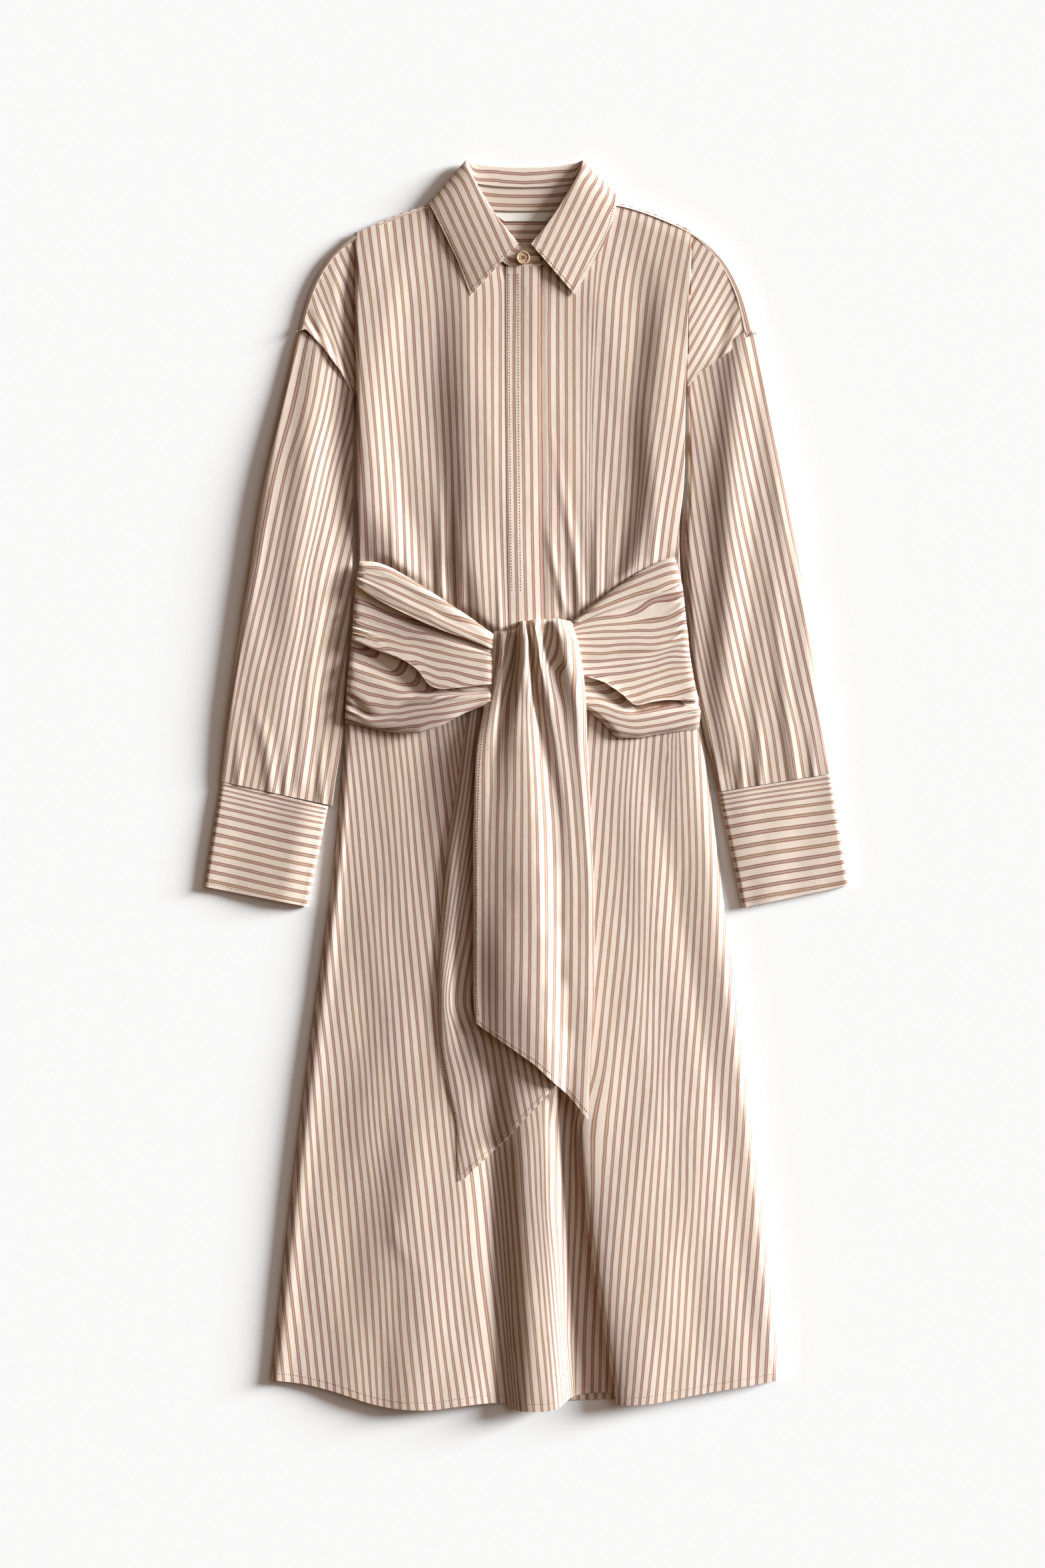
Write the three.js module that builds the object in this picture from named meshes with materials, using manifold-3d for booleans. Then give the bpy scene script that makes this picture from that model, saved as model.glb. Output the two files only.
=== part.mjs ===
// A long-sleeved striped shirt dress laid flat on its back: collar, stand and one button, front placket,
// dropped shoulders, sleeves with deep cuffs, a flared skirt, and a sash tied over the waist seam.
// Millimetres, +Z up from the table, +Y towards the neck, +X to the viewer's right.
// Left and right are the viewer's. The origin is the middle of the garment's outline, on the table.
import * as THREE from "three";
import { mergeVertices } from "three/addons/utils/BufferGeometryUtils.js";
import Module from "manifold-3d";

const wasm = await Module();
wasm.setup();

// Cloth and how the layers lie on each other
const CLOTH = 1.2; // wall of a single layer
const DOUBLE_CLOTH = 1.8; // placket, a folded and stitched layer
const CUFF_CLOTH = 1.4; // wall of a cuff
const SEAM_GAP = 0.3; // between two pieces at a seam
const FRONT_LEVEL = 6.2; // top face of the front where it lies plain
const SHOULDER_LEVEL = 4.6; // top face of the dropped shoulder, outside the bodice's folded edge
const SIDE_LEVEL = 2.8; // top face where a front panel comes down to its side seam
const UNDERLAP_LEVEL = 5.3; // top face of the right front where it runs under the placket
const SIDE_ROLL = 7; // width over which a front panel comes down
const LAY_GAP = 1.3; // air under a layer that lies on another
const TAIL_GAP = 1.8; // air under the front tail, which bridges the pleats below it
const SASH_BRIDGE = [-5, 0, 5]; // the sash spans folds of the front this near on either side
const TAIL_BRIDGE = [-8, 0, 8];
const LAP_REACH = 13; // how far round a lower layer the layer above it is lifted
const SLEEVE_HEIGHT = 6.2;
const CUFF_HEIGHT = 5.4;
const CUTTER_HEIGHT = 80; // height of the prism that cuts a piece to its outline

const WAIST_Y = 158; // waist seam
const STRIPE_CREAM = 0xe6d8c6;
const STRIPE_BROWN = 0xa88474;

// Shoulder edge, neck to armhole, mirrored about X = 0, with the width of back yoke that rolls
// over the edge on the left and on the right.
const SHOULDER = [
  { x: 78, y: 607, wrapLeft: 3, wrapRight: 3 },
  { x: 97, y: 605, wrapLeft: 3, wrapRight: 3 },
  { x: 133, y: 594, wrapLeft: 3, wrapRight: 3 },
  { x: 175, y: 575, wrapLeft: 3, wrapRight: 4 },
  { x: 200, y: 555, wrapLeft: 3, wrapRight: 7 },
  { x: 214, y: 537, wrapLeft: 3, wrapRight: 8 },
  { x: 225, y: 515, wrapLeft: 3, wrapRight: 8.5 },
  { x: 232, y: 494, wrapLeft: 3, wrapRight: 9.5 },
  { x: 237.5, y: 473, wrapLeft: 3, wrapRight: 10.5 },
];
const ARMHOLE_LOW = { left: [-180, 404], right: [167, 415] };
const ARMHOLE_BOW = 7; // how far an armhole seam bulges towards the neck
const YOKE_SEAM = [[-238, 468], [-120, 479], [0, 483], [120, 479], [238, 468]];
// Side seams from the armhole to the waist, and from the waist to the hem
const BODICE_SIDE = {
  left: [[-177, 372], [-177, 300], [-177, 233], [-180, 177], [-181, 158]],
  right: [[166, 372], [164, 311], [161, 250], [162, 205], [166, 180], [168, 158]],
};
const SKIRT_SIDE = {
  left: [[-181, 158], [-185, 118], [-189, 77], [-189, 53], [-194, -16], [-205, -127], [-228, -293],
    [-248, -460], [-266, -619]],
  right: [[168, 158], [171, 107], [180, 71], [181, 57], [186, 26], [193, -16], [203, -127],
    [227, -293], [247, -460], [265, -619]],
};
const FRONT_HEM = [[-266, -619], [-223, -625], [-191, -634], [-164, -643], [-116, -649], [-71, -646],
  [-37, -643], [-8, -650], [15, -650], [34, -646], [44, -639], [62, -634], [88, -633], [96, -643],
  [127, -643], [169, -635], [216, -627], [265, -619]];
const BACK_HEM = [[-266, -619], [-191, -632], [-100, -641], [0, -642], [100, -640], [190, -630], [265, -619]];
const BACK_NECK = [[-70, 604], [-36, 600], [-2, 599], [34, 600], [70, 604]];
const FRONT_NECK = { left: [[-23, 537], [-33, 549], [-47, 568], [-60, 587], [-68, 602]],
  right: [[19, 537], [29, 549], [43, 568], [56, 587], [64, 602]] };
const PLACKET = { left: [-21.5, -18], right: [14.5, 18], top: 537 }; // X at the neck and at the waist
const PLACKET_TOP = UNDERLAP_LEVEL + SEAM_GAP + DOUBLE_CLOTH;
const UNDERLAP_X = -14; // edge of the right front under the placket

// Soft folds. Each path runs along the crest; rise and half-widths go from its first point to its
// last, and flat is the share of the half-width that stays level on top.
const BODICE_FOLDS = [
  { path: [[-58, 541], [-62, 432], [-51, 323], [-51, 251], [-36, 196], [-31, 161]],
    rise: [2, 3.4], before: [9, 9], after: [18, 12], flat: 0 },
  { path: [[-104, 300], [-99, 225], [-96, 160]], rise: [0.4, 2.8], before: [8, 8], after: [8, 8], flat: 0 },
  { path: [[-86, 300], [-80, 225], [-78, 160]], rise: [0.4, 2.8], before: [8, 8], after: [8, 8], flat: 0 },
  { path: [[-70, 290], [-62, 225], [-60, 160]], rise: [0.4, 2.8], before: [8, 8], after: [8, 8], flat: 0 },
  { path: [[-142, 335], [-137, 225]], rise: [0.8, 1.6], before: [8, 8], after: [8, 8], flat: 0 },
  { path: [[142, 505], [122, 414], [125, 341], [120, 287], [115, 225], [100, 165]],
    rise: [2, 3.4], before: [9, 9], after: [18, 14], flat: 0 },
  { path: [[38, 300], [54, 225], [56, 165]], rise: [0.4, 2.4], before: [8, 8], after: [8, 8], flat: 0 },
  { path: [[60, 290], [71, 225], [73, 165]], rise: [0.4, 2.4], before: [8, 8], after: [8, 8], flat: 0 },
];
const SKIRT_FOLDS = [
  { path: [[-168, 158], [-182, -85], [-203, -363], [-228, -650]],
    rise: [1, 2], before: [9, 22], after: [18, 38], flat: 0.2 },
  { path: [[-120, 158], [-114, -85], [-103, -363], [-96, -650]],
    rise: [2, 3.4], before: [20, 40], after: [20, 40], flat: 0.2 },
  { path: [[-58, 158], [-24, -85], [0, -363], [8, -650]],
    rise: [1, 14], before: [20, 38], after: [20, 40], flat: 0.35 },
  { path: [[34, 158], [60, -85], [80, -363], [104, -650]],
    rise: [1, 9], before: [14, 24], after: [26, 38], flat: 0.15 },
  { path: [[92, 158], [120, -85], [150, -363], [184, -650]],
    rise: [1, 2], before: [16, 24], after: [16, 24], flat: 0 },
  { path: [[142, 158], [176, -85], [208, -363], [242, -650]],
    rise: [2.4, 2], before: [12, 16], after: [14, 14], flat: 0 },
];
const SKIRT_TOP_FADE = 40; // a skirt fold reaches its own rise this far below the sash

// The sash crosses the waist from both side seams to the knot, in lengthwise pleats.
const SASH_LEFT = [[-176, 232], [-152, 231], [-135, 223], [-89, 193], [-42, 163], [-33, 156], [-22, 150],
  [-22, 100], [-44, 85], [-58, 78], [-94, 60], [-114, 53], [-150, 56], [-188, 62], [-188, 77],
  [-184, 118], [-180, 177], [-178, 210]];
const SASH_RIGHT = [[33, 157], [44, 168], [81, 196], [112, 218], [153, 238], [155, 231], [161, 215],
  [164, 184], [168, 146], [171, 107], [177, 85], [181, 77], [180, 58], [132, 51], [101, 48],
  [95, 49], [63, 82], [33, 102]];
const SASH_LEFT_PLEATS = [
  { path: [[-176, 214], [-132, 190], [-36, 146]], rise: [2.6, 2.2], before: [12, 9], after: [6, 6], flat: 0 },
  { path: [[-182, 176], [-130, 160], [-36, 128]], rise: [1.8, 1.6], before: [9, 8], after: [9, 8], flat: 0 },
  { path: [[-182, 150], [-125, 132], [-36, 108]], rise: [2.2, 1.6], before: [12, 8], after: [6, 6], flat: 0 },
  { path: [[-186, 112], [-120, 98], [-60, 88]], rise: [1.8, 1.4], before: [10, 8], after: [6, 6], flat: 0 },
  { path: [[-186, 78], [-140, 72], [-70, 76]], rise: [1.6, 1], before: [8, 6], after: [6, 6], flat: 0 },
];
const SASH_RIGHT_PLEATS = [
  { path: [[40, 158], [90, 184], [156, 216]], rise: [1.6, 2.4], before: [7, 9], after: [6, 7], flat: 0 },
  { path: [[40, 146], [110, 168], [160, 188]], rise: [1.4, 2], before: [7, 9], after: [7, 9], flat: 0 },
  { path: [[60, 132], [130, 140], [168, 152]], rise: [1.4, 2], before: [9, 9], after: [7, 8], flat: 0 },
  { path: [[60, 116], [100, 92], [176, 108]], rise: [2, 2], before: [11, 10], after: [6, 6], flat: 0 },
  { path: [[70, 84], [108, 66], [178, 72]], rise: [1.8, 1.6], before: [9, 8], after: [6, 6], flat: 0 },
];

// The two tails. The front one comes out of the knot and folds down over it.
const TIE_FRONT = [[-35, 154], [-10, 156], [-6, 165], [4, 168], [19, 168], [45, 166], [49, 164], [58, 128],
  [62, 82], [63, 26], [66, -28], [70, -123], [71, -219], [69, -315], [67, -347], [50, -324],
  [31, -309], [-4, -279], [-33, -257], [-46, -246], [-52, -235], [-55, -203], [-55, -123],
  [-54, -28], [-53, 26], [-44, 82], [-38, 118]];
const TIE_BACK = [[-26, 70], [0, -51], [17, -155], [33, -293], [31, -311], [8, -337], [-24, -367],
  [-55, -399], [-67, -412], [-75, -413], [-74, -379], [-84, -315], [-92, -267], [-94, -219],
  [-92, -155], [-84, -60], [-71, 19], [-64, 66], [-46, 74]];
const TIE_FRONT_FOLDS = [
  { path: [[-22, 150], [-30, 60], [-36, -60]], rise: [4, 1], before: [12, 10], after: [9, 9], flat: 0.2 },
  { path: [[-2, 160], [2, 60], [4, -60]], rise: [5, 1], before: [7, 10], after: [7, 10], flat: 0.2 },
  { path: [[18, 162], [26, 60], [34, -60]], rise: [4, 1], before: [7, 9], after: [7, 9], flat: 0.2 },
  { path: [[40, 160], [48, 60], [56, -60]], rise: [4, 1], before: [8, 8], after: [8, 6], flat: 0.2 },
];
const TIE_BACK_FOLDS = [
  { path: [[-56, 60], [-74, -60], [-80, -160]], rise: [3, 0.5], before: [8, 10], after: [8, 12], flat: 0 },
];
const KNOT = { x: 10, y: 122, reachX: 58, reachUp: 60, reachDown: 78, rise: 15 };

// Sleeves, ring by ring from the armhole to the cuff: the outer and the inner edge.
const SLEEVE_RINGS = {
  left: [
    { outer: [-240, 466.2], inner: [-180, 403], bow: ARMHOLE_BOW },
    { outer: [-251, 416], inner: [-181, 358], bow: 5 },
    { outer: [-265, 355], inner: [-180, 306], bow: 2 },
    { outer: [-277, 296], inner: [-180, 254], bow: 0 },
    { outer: [-288, 227], inner: [-183, 192], bow: 0 },
    { outer: [-300, 150], inner: [-188, 123], bow: 0 },
    { outer: [-310, 82], inner: [-193, 57], bow: 0 },
    { outer: [-315, 33], inner: [-199, 12], bow: 0 },
    { outer: [-319, 3.4], inner: [-203, -22], bow: 0 },
  ],
  right: [
    { outer: [239, 466.6], inner: [168.4, 413.4], bow: ARMHOLE_BOW },
    { outer: [250, 414], inner: [169, 365], bow: 5 },
    { outer: [261, 355], inner: [168, 306], bow: 2 },
    { outer: [272, 300], inner: [165, 251], bow: 0 },
    { outer: [285, 227], inner: [168, 192], bow: 0 },
    { outer: [296, 150], inner: [173, 123], bow: 0 },
    { outer: [305, 81], inner: [184, 57], bow: 0 },
    { outer: [312, 36], inner: [193, 26], bow: 0 },
    { outer: [317, 11.6], inner: [199, -7.4], bow: 0 },
  ],
};
const CUFF_RINGS = {
  left: [
    { outer: [-318, 3], inner: [-207, -23], bow: 0 },
    { outer: [-335.6, -106], inner: [-228, -127], bow: 0 },
  ],
  right: [
    { outer: [317, 11], inner: [200, -8], bow: 0 },
    { outer: [335.6, -105], inner: [225, -128], bow: 0 },
  ],
};
// Lengthwise creases on a sleeve's upper face: share of the width, depth and half-width
const SLEEVE_CREASES = [
  { at: 0.3, rise: 0.9, half: 0.14 },
  { at: 0.68, rise: 0.8, half: 0.12 },
];

// Collar stand: top and bottom edge with their heights, from the buttoned tab's end, round the left of
// the neck and the back, to the right end that lies under the tab.
const STAND_ROWS = [
  { top: [12, 557, 10], foot: [15, 538, 9.2] },
  { top: [-4, 558.5, 10], foot: [-4, 537.5, 9.2] },
  { top: [-16, 567, 9.4], foot: [-21, 541, 8.6] },
  { top: [-28, 585, 8.4], foot: [-36, 556, 7.3] },
  { top: [-43, 604, 8], foot: [-52, 577, 7.3] },
  { top: [-54, 619, 7.6], foot: [-65, 600, 7.3] },
  { top: [-60, 626, 6], foot: [-72, 607, 5.6] },
  { top: [-52, 623, 4.3], foot: [-58, 602, 2.5] },
  { top: [-31, 620, 4], foot: [-31, 598.5, 2.2] },
  { top: [-2, 619, 3.9], foot: [-2, 597.6, 2.2] },
  { top: [27, 620, 4], foot: [27, 598.5, 2.2] },
  { top: [48, 623, 4.3], foot: [54, 602, 2.5] },
  { top: [56, 626, 6], foot: [68, 607, 5.6] },
  { top: [50, 619, 7.6], foot: [61, 600, 7.3] },
  { top: [39, 604, 8], foot: [48, 577, 7.3] },
  { top: [26, 586, 8], foot: [35, 556, 7.2] },
  { top: [12, 568, 7.8], foot: [20, 541, 7.1] },
  { top: [-2, 559.5, 7.6], foot: [-2, 539.5, 7.1] },
];
// Collar: seam to the stand, roll line and free edge, and the way the outer layer faces, as degrees
// turned from down to up. Rows run from the middle of the back to the front edge of the left leaf.
const COLLAR_ROWS = [
  { seam: [-2, 622, 4.4], roll: [-2, 643, 3.2], edge: [-2, 602, 0.8], facing: 0 },
  { seam: [-28, 623, 4.4], roll: [-30, 644, 3.2], edge: [-30, 602, 0.8], facing: 0 },
  { seam: [-52, 626, 4.8], roll: [-54, 647, 3.6], edge: [-62, 607, 0.9], facing: 15 },
  { seam: [-58, 629, 6], roll: [-61, 649.5, 5.6], edge: [-88, 608, 3.4], facing: 60 },
  { seam: [-59, 629, 8], roll: [-62, 648.5, 8], edge: [-99, 604, 7.6], facing: 110 },
  { seam: [-56, 623, 10.2], roll: [-59, 638, 11.2], edge: [-97, 594, 10.6], facing: 160 },
  { seam: [-48, 611, 10.6], roll: [-51, 623, 12.6], edge: [-90, 575, 11], facing: 180 },
  { seam: [-36, 590, 11], roll: [-37, 600, 12.8], edge: [-80, 558, 11], facing: 180 },
  { seam: [-22, 572, 11.6], roll: [-23, 580, 13.2], edge: [-71, 540, 11], facing: 180 },
  { seam: [-12, 558, 12], roll: [-8.2, 562, 13.4], edge: [-58, 509, 10.6], facing: 180 },
];
const COLLAR_CLOTH = 1.2;
const COLLAR_ROLL = 1.4; // from the roll line's centre to each layer
const NECK_CENTRE_X = -2; // the collar's leaves mirror about this line
const LABEL = { outline: [[-35, 595.5], [30, 595.5], [19, 587], [-23, 587]], thickness: 0.9 };
const BUTTON = { x: -3.6, y: 547.5, z: 10.6, radius: 7, thickness: 2.4, rim: 1.2, hole: 0.9, spread: 1.36 };
const BUTTON_BEVEL = 0.6;

// Small helpers
const lerp = (a, b, t) => a + (b - a) * t;
const mix = (p, q, t) => p.map((value, i) => lerp(value, q[i], t));
const clamp01 = (t) => Math.min(1, Math.max(0, t));
const smooth = (t) => clamp01(t) ** 2 * (3 - 2 * clamp01(t));

// X of a path of [x, y] points at a height y, level beyond its ends.
function pathX(path, y) {
  const down = path[0][1] > path[path.length - 1][1] ? path : [...path].reverse();
  if (y >= down[0][1]) return down[0][0];
  for (let i = 1; i < down.length; i += 1) {
    if (y >= down[i][1]) {
      return lerp(down[i - 1][0], down[i][0], (down[i - 1][1] - y) / (down[i - 1][1] - down[i][1]));
    }
  }
  return down[down.length - 1][0];
}

// Distance inside a closed outline, negative outside it.
function depthInside(outline, x, y) {
  let inside = false;
  let nearest = Infinity;
  outline.forEach(([ax, ay], i) => {
    const [bx, by] = outline[(i + 1) % outline.length];
    if (ay > y !== by > y && x < lerp(ax, bx, (y - ay) / (by - ay))) inside = !inside;
    const t = clamp01(((x - ax) * (bx - ax) + (y - ay) * (by - ay)) / ((bx - ax) ** 2 + (by - ay) ** 2));
    nearest = Math.min(nearest, Math.hypot(x - lerp(ax, bx, t), y - lerp(ay, by, t)));
  });
  return inside ? nearest : -nearest;
}

// A fold's rise at a place: across is measured from the crest, along is 0 at its first point.
function foldProfile(fold, across, along) {
  const reach = across < 0 ? lerp(...fold.before, along) : lerp(...fold.after, along);
  const off = Math.abs(across) / reach;
  if (off >= 1) return 0;
  const slope = off <= fold.flat ? 0 : (off - fold.flat) / (1 - fold.flat);
  return lerp(...fold.rise, along) * Math.cos((slope * Math.PI) / 2) ** 2;
}

// Folds that run down the garment.
function downFolds(folds, x, y) {
  return folds.reduce((sum, fold) => {
    const top = fold.path[0][1];
    const foot = fold.path[fold.path.length - 1][1];
    const fade = smooth((top + 30 - y) / 30) * smooth((y - foot + 30) / 30);
    const along = clamp01((top - y) / (top - foot));
    return sum + fade * foldProfile(fold, x - pathX(fold.path, y), along);
  }, 0);
}

// Pleats that run across the garment: before is below the crest and after is above it.
function crossPleats(pleats, x, y) {
  return pleats.reduce((sum, pleat) => {
    const flipped = pleat.path.map(([px, py]) => [py, px]);
    const along = clamp01((x - pleat.path[0][0]) / (pleat.path[pleat.path.length - 1][0] - pleat.path[0][0]));
    return sum + foldProfile(pleat, y - pathX(flipped, x), along);
  }, 0);
}

// Walls
const asSolid = (geometry) => {
  const bare = geometry.clone();
  bare.deleteAttribute("normal");
  bare.deleteAttribute("uv");
  const merged = mergeVertices(bare, 1e-4);
  return new wasm.Manifold(new wasm.Mesh({
    numProp: 3,
    vertProperties: merged.attributes.position.array,
    triVerts: new Uint32Array(merged.index.array),
  }));
};
const asGeometry = (solid) => {
  const mesh = solid.getMesh();
  const geometry = new THREE.BufferGeometry();
  geometry.setAttribute("position", new THREE.BufferAttribute(mesh.vertProperties, 3));
  geometry.setIndex(new THREE.BufferAttribute(mesh.triVerts, 1));
  const flat = geometry.toNonIndexed();
  flat.computeVertexNormals();
  return flat;
};
const prism = (outline, bottom, height) => {
  const shape = new THREE.Shape(outline.map(([x, y]) => new THREE.Vector2(x, y)));
  return new THREE.ExtrudeGeometry(shape, { depth: height, bevelEnabled: false }).translate(0, 0, bottom);
};

// A closed wall between two grids of points with the same rows and columns. A tube's columns close on
// themselves; a sheet's don't, and rims close all four of its edges.
function wallBetween(outside, inside, tube = false) {
  const rows = outside.length;
  const columns = outside[0].length;
  const positions = [...outside.flat(), ...inside.flat()].flat();
  const at = (side, row, column) => side * rows * columns + row * columns + (column % columns);
  const faces = [];
  const quad = (a, b, c, d) => faces.push(a, b, c, a, c, d);
  const across = tube ? columns : columns - 1;
  for (let row = 0; row < rows - 1; row += 1) {
    for (let column = 0; column < across; column += 1) {
      const next = column + 1;
      quad(at(0, row, column), at(0, row + 1, column), at(0, row + 1, next), at(0, row, next));
      quad(at(1, row, column), at(1, row, next), at(1, row + 1, next), at(1, row + 1, column));
    }
  }
  for (let column = 0; column < across; column += 1) {
    const next = column + 1;
    quad(at(0, 0, column), at(0, 0, next), at(1, 0, next), at(1, 0, column));
    quad(at(0, rows - 1, next), at(0, rows - 1, column), at(1, rows - 1, column), at(1, rows - 1, next));
  }
  if (!tube) {
    for (let row = 0; row < rows - 1; row += 1) {
      quad(at(0, row + 1, 0), at(0, row, 0), at(1, row, 0), at(1, row + 1, 0));
      quad(at(0, row, across), at(0, row + 1, across), at(1, row + 1, across), at(1, row, across));
    }
  }
  const geometry = new THREE.BufferGeometry();
  geometry.setAttribute("position", new THREE.BufferAttribute(new Float32Array(positions), 3));
  geometry.setIndex(faces);
  const solid = asSolid(geometry);
  if (solid.volume() > 0) return solid;
  const turned = [];
  for (let i = 0; i < faces.length; i += 3) turned.push(faces[i], faces[i + 2], faces[i + 1]);
  geometry.setIndex(turned);
  return asSolid(geometry);
}

// A sheet that lies over the table: its upper face is a function of the place, its wall keeps the
// cloth's thickness on a slope, and an outline cuts it to the shape of the piece.
function laidPiece({ outline, columnsAt, rows, surface, wall = CLOTH }) {
  const step = 1;
  const upper = rows.map((y) => columnsAt(y).map((x) => [x, y, surface(x, y)]));
  const lower = upper.map((line) => line.map(([x, y, z]) => {
    const slope = Math.hypot(surface(x + step, y) - surface(x - step, y),
      surface(x, y + step) - surface(x, y - step)) / (2 * step);
    const thickness = typeof wall === "function" ? wall(x, y) : wall * Math.min(1.8, Math.hypot(1, slope));
    return [x, y, z - thickness];
  }));
  return wallBetween(upper, lower).intersect(asSolid(prism(outline, -1, CUTTER_HEIGHT)));
}

// A sheet of even thickness round a grid of points in its middle plane.
function thickSheet(middle, thickness) {
  const vectors = middle.map((line) => line.map((point) => new THREE.Vector3(...point)));
  const offset = (side) => vectors.map((line, i) => line.map((point, j) => {
    const alongRow = line[Math.min(j + 1, line.length - 1)].clone().sub(line[Math.max(j - 1, 0)]);
    const down = vectors[Math.min(i + 1, vectors.length - 1)][j].clone()
      .sub(vectors[Math.max(i - 1, 0)][j]);
    const normal = alongRow.cross(down).normalize();
    return point.clone().addScaledVector(normal, (side * thickness) / 2).toArray();
  }));
  return wallBetween(offset(1), offset(-1));
}

const evenly = (from, to, step) => {
  const count = Math.max(1, Math.round(Math.abs(to - from) / step));
  return Array.from({ length: count + 1 }, (_, i) => lerp(from, to, i / count));
};

// A seam line between two ends that bulges to one side.
function bowed(from, to, bow, count) {
  const length = Math.hypot(to[0] - from[0], to[1] - from[1]);
  const side = to[0] > from[0] ? 1 : -1;
  const normal = [(-side * (to[1] - from[1])) / length, (side * (to[0] - from[0])) / length];
  return Array.from({ length: count + 1 }, (_, i) => {
    const t = i / count;
    const lift = 4 * bow * t * (1 - t);
    return [lerp(from[0], to[0], t) + normal[0] * lift, lerp(from[1], to[1], t) + normal[1] * lift];
  });
}

// Surfaces of the front
function shoulderEdge(side, wrapKey, inset) {
  const sign = side === "left" ? -1 : 1;
  return SHOULDER.map((row, i) => {
    const before = SHOULDER[Math.max(0, i - 1)];
    const after = SHOULDER[Math.min(SHOULDER.length - 1, i + 1)];
    const length = Math.hypot(after.x - before.x, after.y - before.y);
    const depth = wrapKey ? row[wrapKey] + inset : inset;
    return [sign * (row.x + ((after.y - before.y) / length) * depth),
      row.y - ((after.x - before.x) / length) * depth];
  });
}
const bodySide = {
  left: [...BODICE_SIDE.left, ...SKIRT_SIDE.left.slice(1)],
  right: [...BODICE_SIDE.right, ...SKIRT_SIDE.right.slice(1)],
};
const foldEdgeX = (side, y) => (y > ARMHOLE_LOW[side][1] ? ARMHOLE_LOW[side][0] : pathX(bodySide[side], y));

// How far under the sash or the tails a place is, from 0 outside to 1 well inside.
function cover(x, y) {
  const depth = Math.max(depthInside(SASH_LEFT, x, y), depthInside(SASH_RIGHT, x, y));
  return smooth((depth - 2) / 12);
}

function frontSurface(x, y) {
  const inward = Math.min(x - foldEdgeX("left", y), foldEdgeX("right", y) - x);
  const armhole = Math.min(ARMHOLE_LOW.left[1], ARMHOLE_LOW.right[1]);
  const outerLevel = lerp(SIDE_LEVEL, SHOULDER_LEVEL, smooth((y - armhole + 20) / 30));
  const plain = lerp(outerLevel, FRONT_LEVEL, smooth(inward / SIDE_ROLL));
  const bodiceShare = smooth((y - WAIST_Y + 20) / 20);
  const skirtShare = smooth((WAIST_Y - y) / SKIRT_TOP_FADE);
  const folds = bodiceShare * downFolds(BODICE_FOLDS, x, y) + skirtShare * downFolds(SKIRT_FOLDS, x, y);
  return plain + folds * (1 - cover(x, y)) * smooth(inward / SIDE_ROLL);
}
const rightFrontSurface = (x, y) => lerp(UNDERLAP_LEVEL, frontSurface(x, y),
  smooth((x - lerp(...PLACKET.right, (PLACKET.top - y) / (PLACKET.top - WAIST_Y)) - 1) / 5));
const sashTop = (pleats) => (x, y) => highest(x, y, SASH_BRIDGE) + LAY_GAP + CLOTH
  + crossPleats(pleats, x, y);
const sashLeftTop = sashTop(SASH_LEFT_PLEATS);
const sashRightTop = sashTop(SASH_RIGHT_PLEATS);
const tieBackTop = (x, y) => highest(x, y, TAIL_BRIDGE) + LAY_GAP + CLOTH + downFolds(TIE_BACK_FOLDS, x, y);

// The front's highest point near a place, for a layer that bridges its folds.
function highest(x, y, offsets) {
  return Math.max(...offsets.map((offset) => frontSurface(x + offset, y)));
}
function underTieFront(x, y) {
  const layers = [highest(x, y, TAIL_BRIDGE)];
  if (y > WAIST_Y - LAP_REACH) layers.push(PLACKET_TOP);
  if (depthInside(SASH_LEFT, x, y) > -LAP_REACH) layers.push(sashLeftTop(x, y));
  if (depthInside(SASH_RIGHT, x, y) > -LAP_REACH) layers.push(sashRightTop(x, y));
  if (depthInside(TIE_BACK, x, y) > -LAP_REACH) layers.push(tieBackTop(x, y));
  return Math.max(...layers) + TAIL_GAP;
}
function knotRise(x, y) {
  const reachY = y > KNOT.y ? KNOT.reachUp : KNOT.reachDown;
  const reach = Math.hypot((x - KNOT.x) / KNOT.reachX, (y - KNOT.y) / reachY);
  return KNOT.rise * (1 - smooth(reach));
}
const tieFrontTop = (x, y) => underTieFront(x, y) + CLOTH + knotRise(x, y) + downFolds(TIE_FRONT_FOLDS, x, y);

// Pieces that lie flat under the rest
function backPieces() {
  const armholeLeft = bowed([-238.4, 467.5], ARMHOLE_LOW.left, ARMHOLE_BOW, 8);
  const armholeRight = bowed([238.4, 467.5], ARMHOLE_LOW.right, ARMHOLE_BOW, 8);
  const yokeFlat = prism([...BACK_NECK, ...shoulderEdge("right", null, 2.5),
    ...YOKE_SEAM.slice(1, -1).reverse(), ...shoulderEdge("left", null, 2.5).reverse()], 0, CLOTH);
  const yoke = asSolid(yokeFlat).add(shoulderRoll("left")).add(shoulderRoll("right"));
  const seamBelow = YOKE_SEAM.map(([x, y]) => [x * 0.998, y - SEAM_GAP - 0.2]);
  const bodice = prism([...seamBelow, ...armholeRight.slice(1), ...BODICE_SIDE.right,
    ...[...BODICE_SIDE.left].reverse(), ...armholeLeft.slice(1).reverse()], 0, CLOTH);
  const waistDrop = ([x, y]) => [x, Math.min(y, WAIST_Y - SEAM_GAP)];
  const skirt = prism([...SKIRT_SIDE.left.map(waistDrop), ...BACK_HEM.slice(1, -1),
    ...SKIRT_SIDE.right.map(waistDrop).reverse()], 0, CLOTH);
  return { back_yoke: asGeometry(yoke), back_bodice: bodice, back_skirt: skirt };
}

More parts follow.
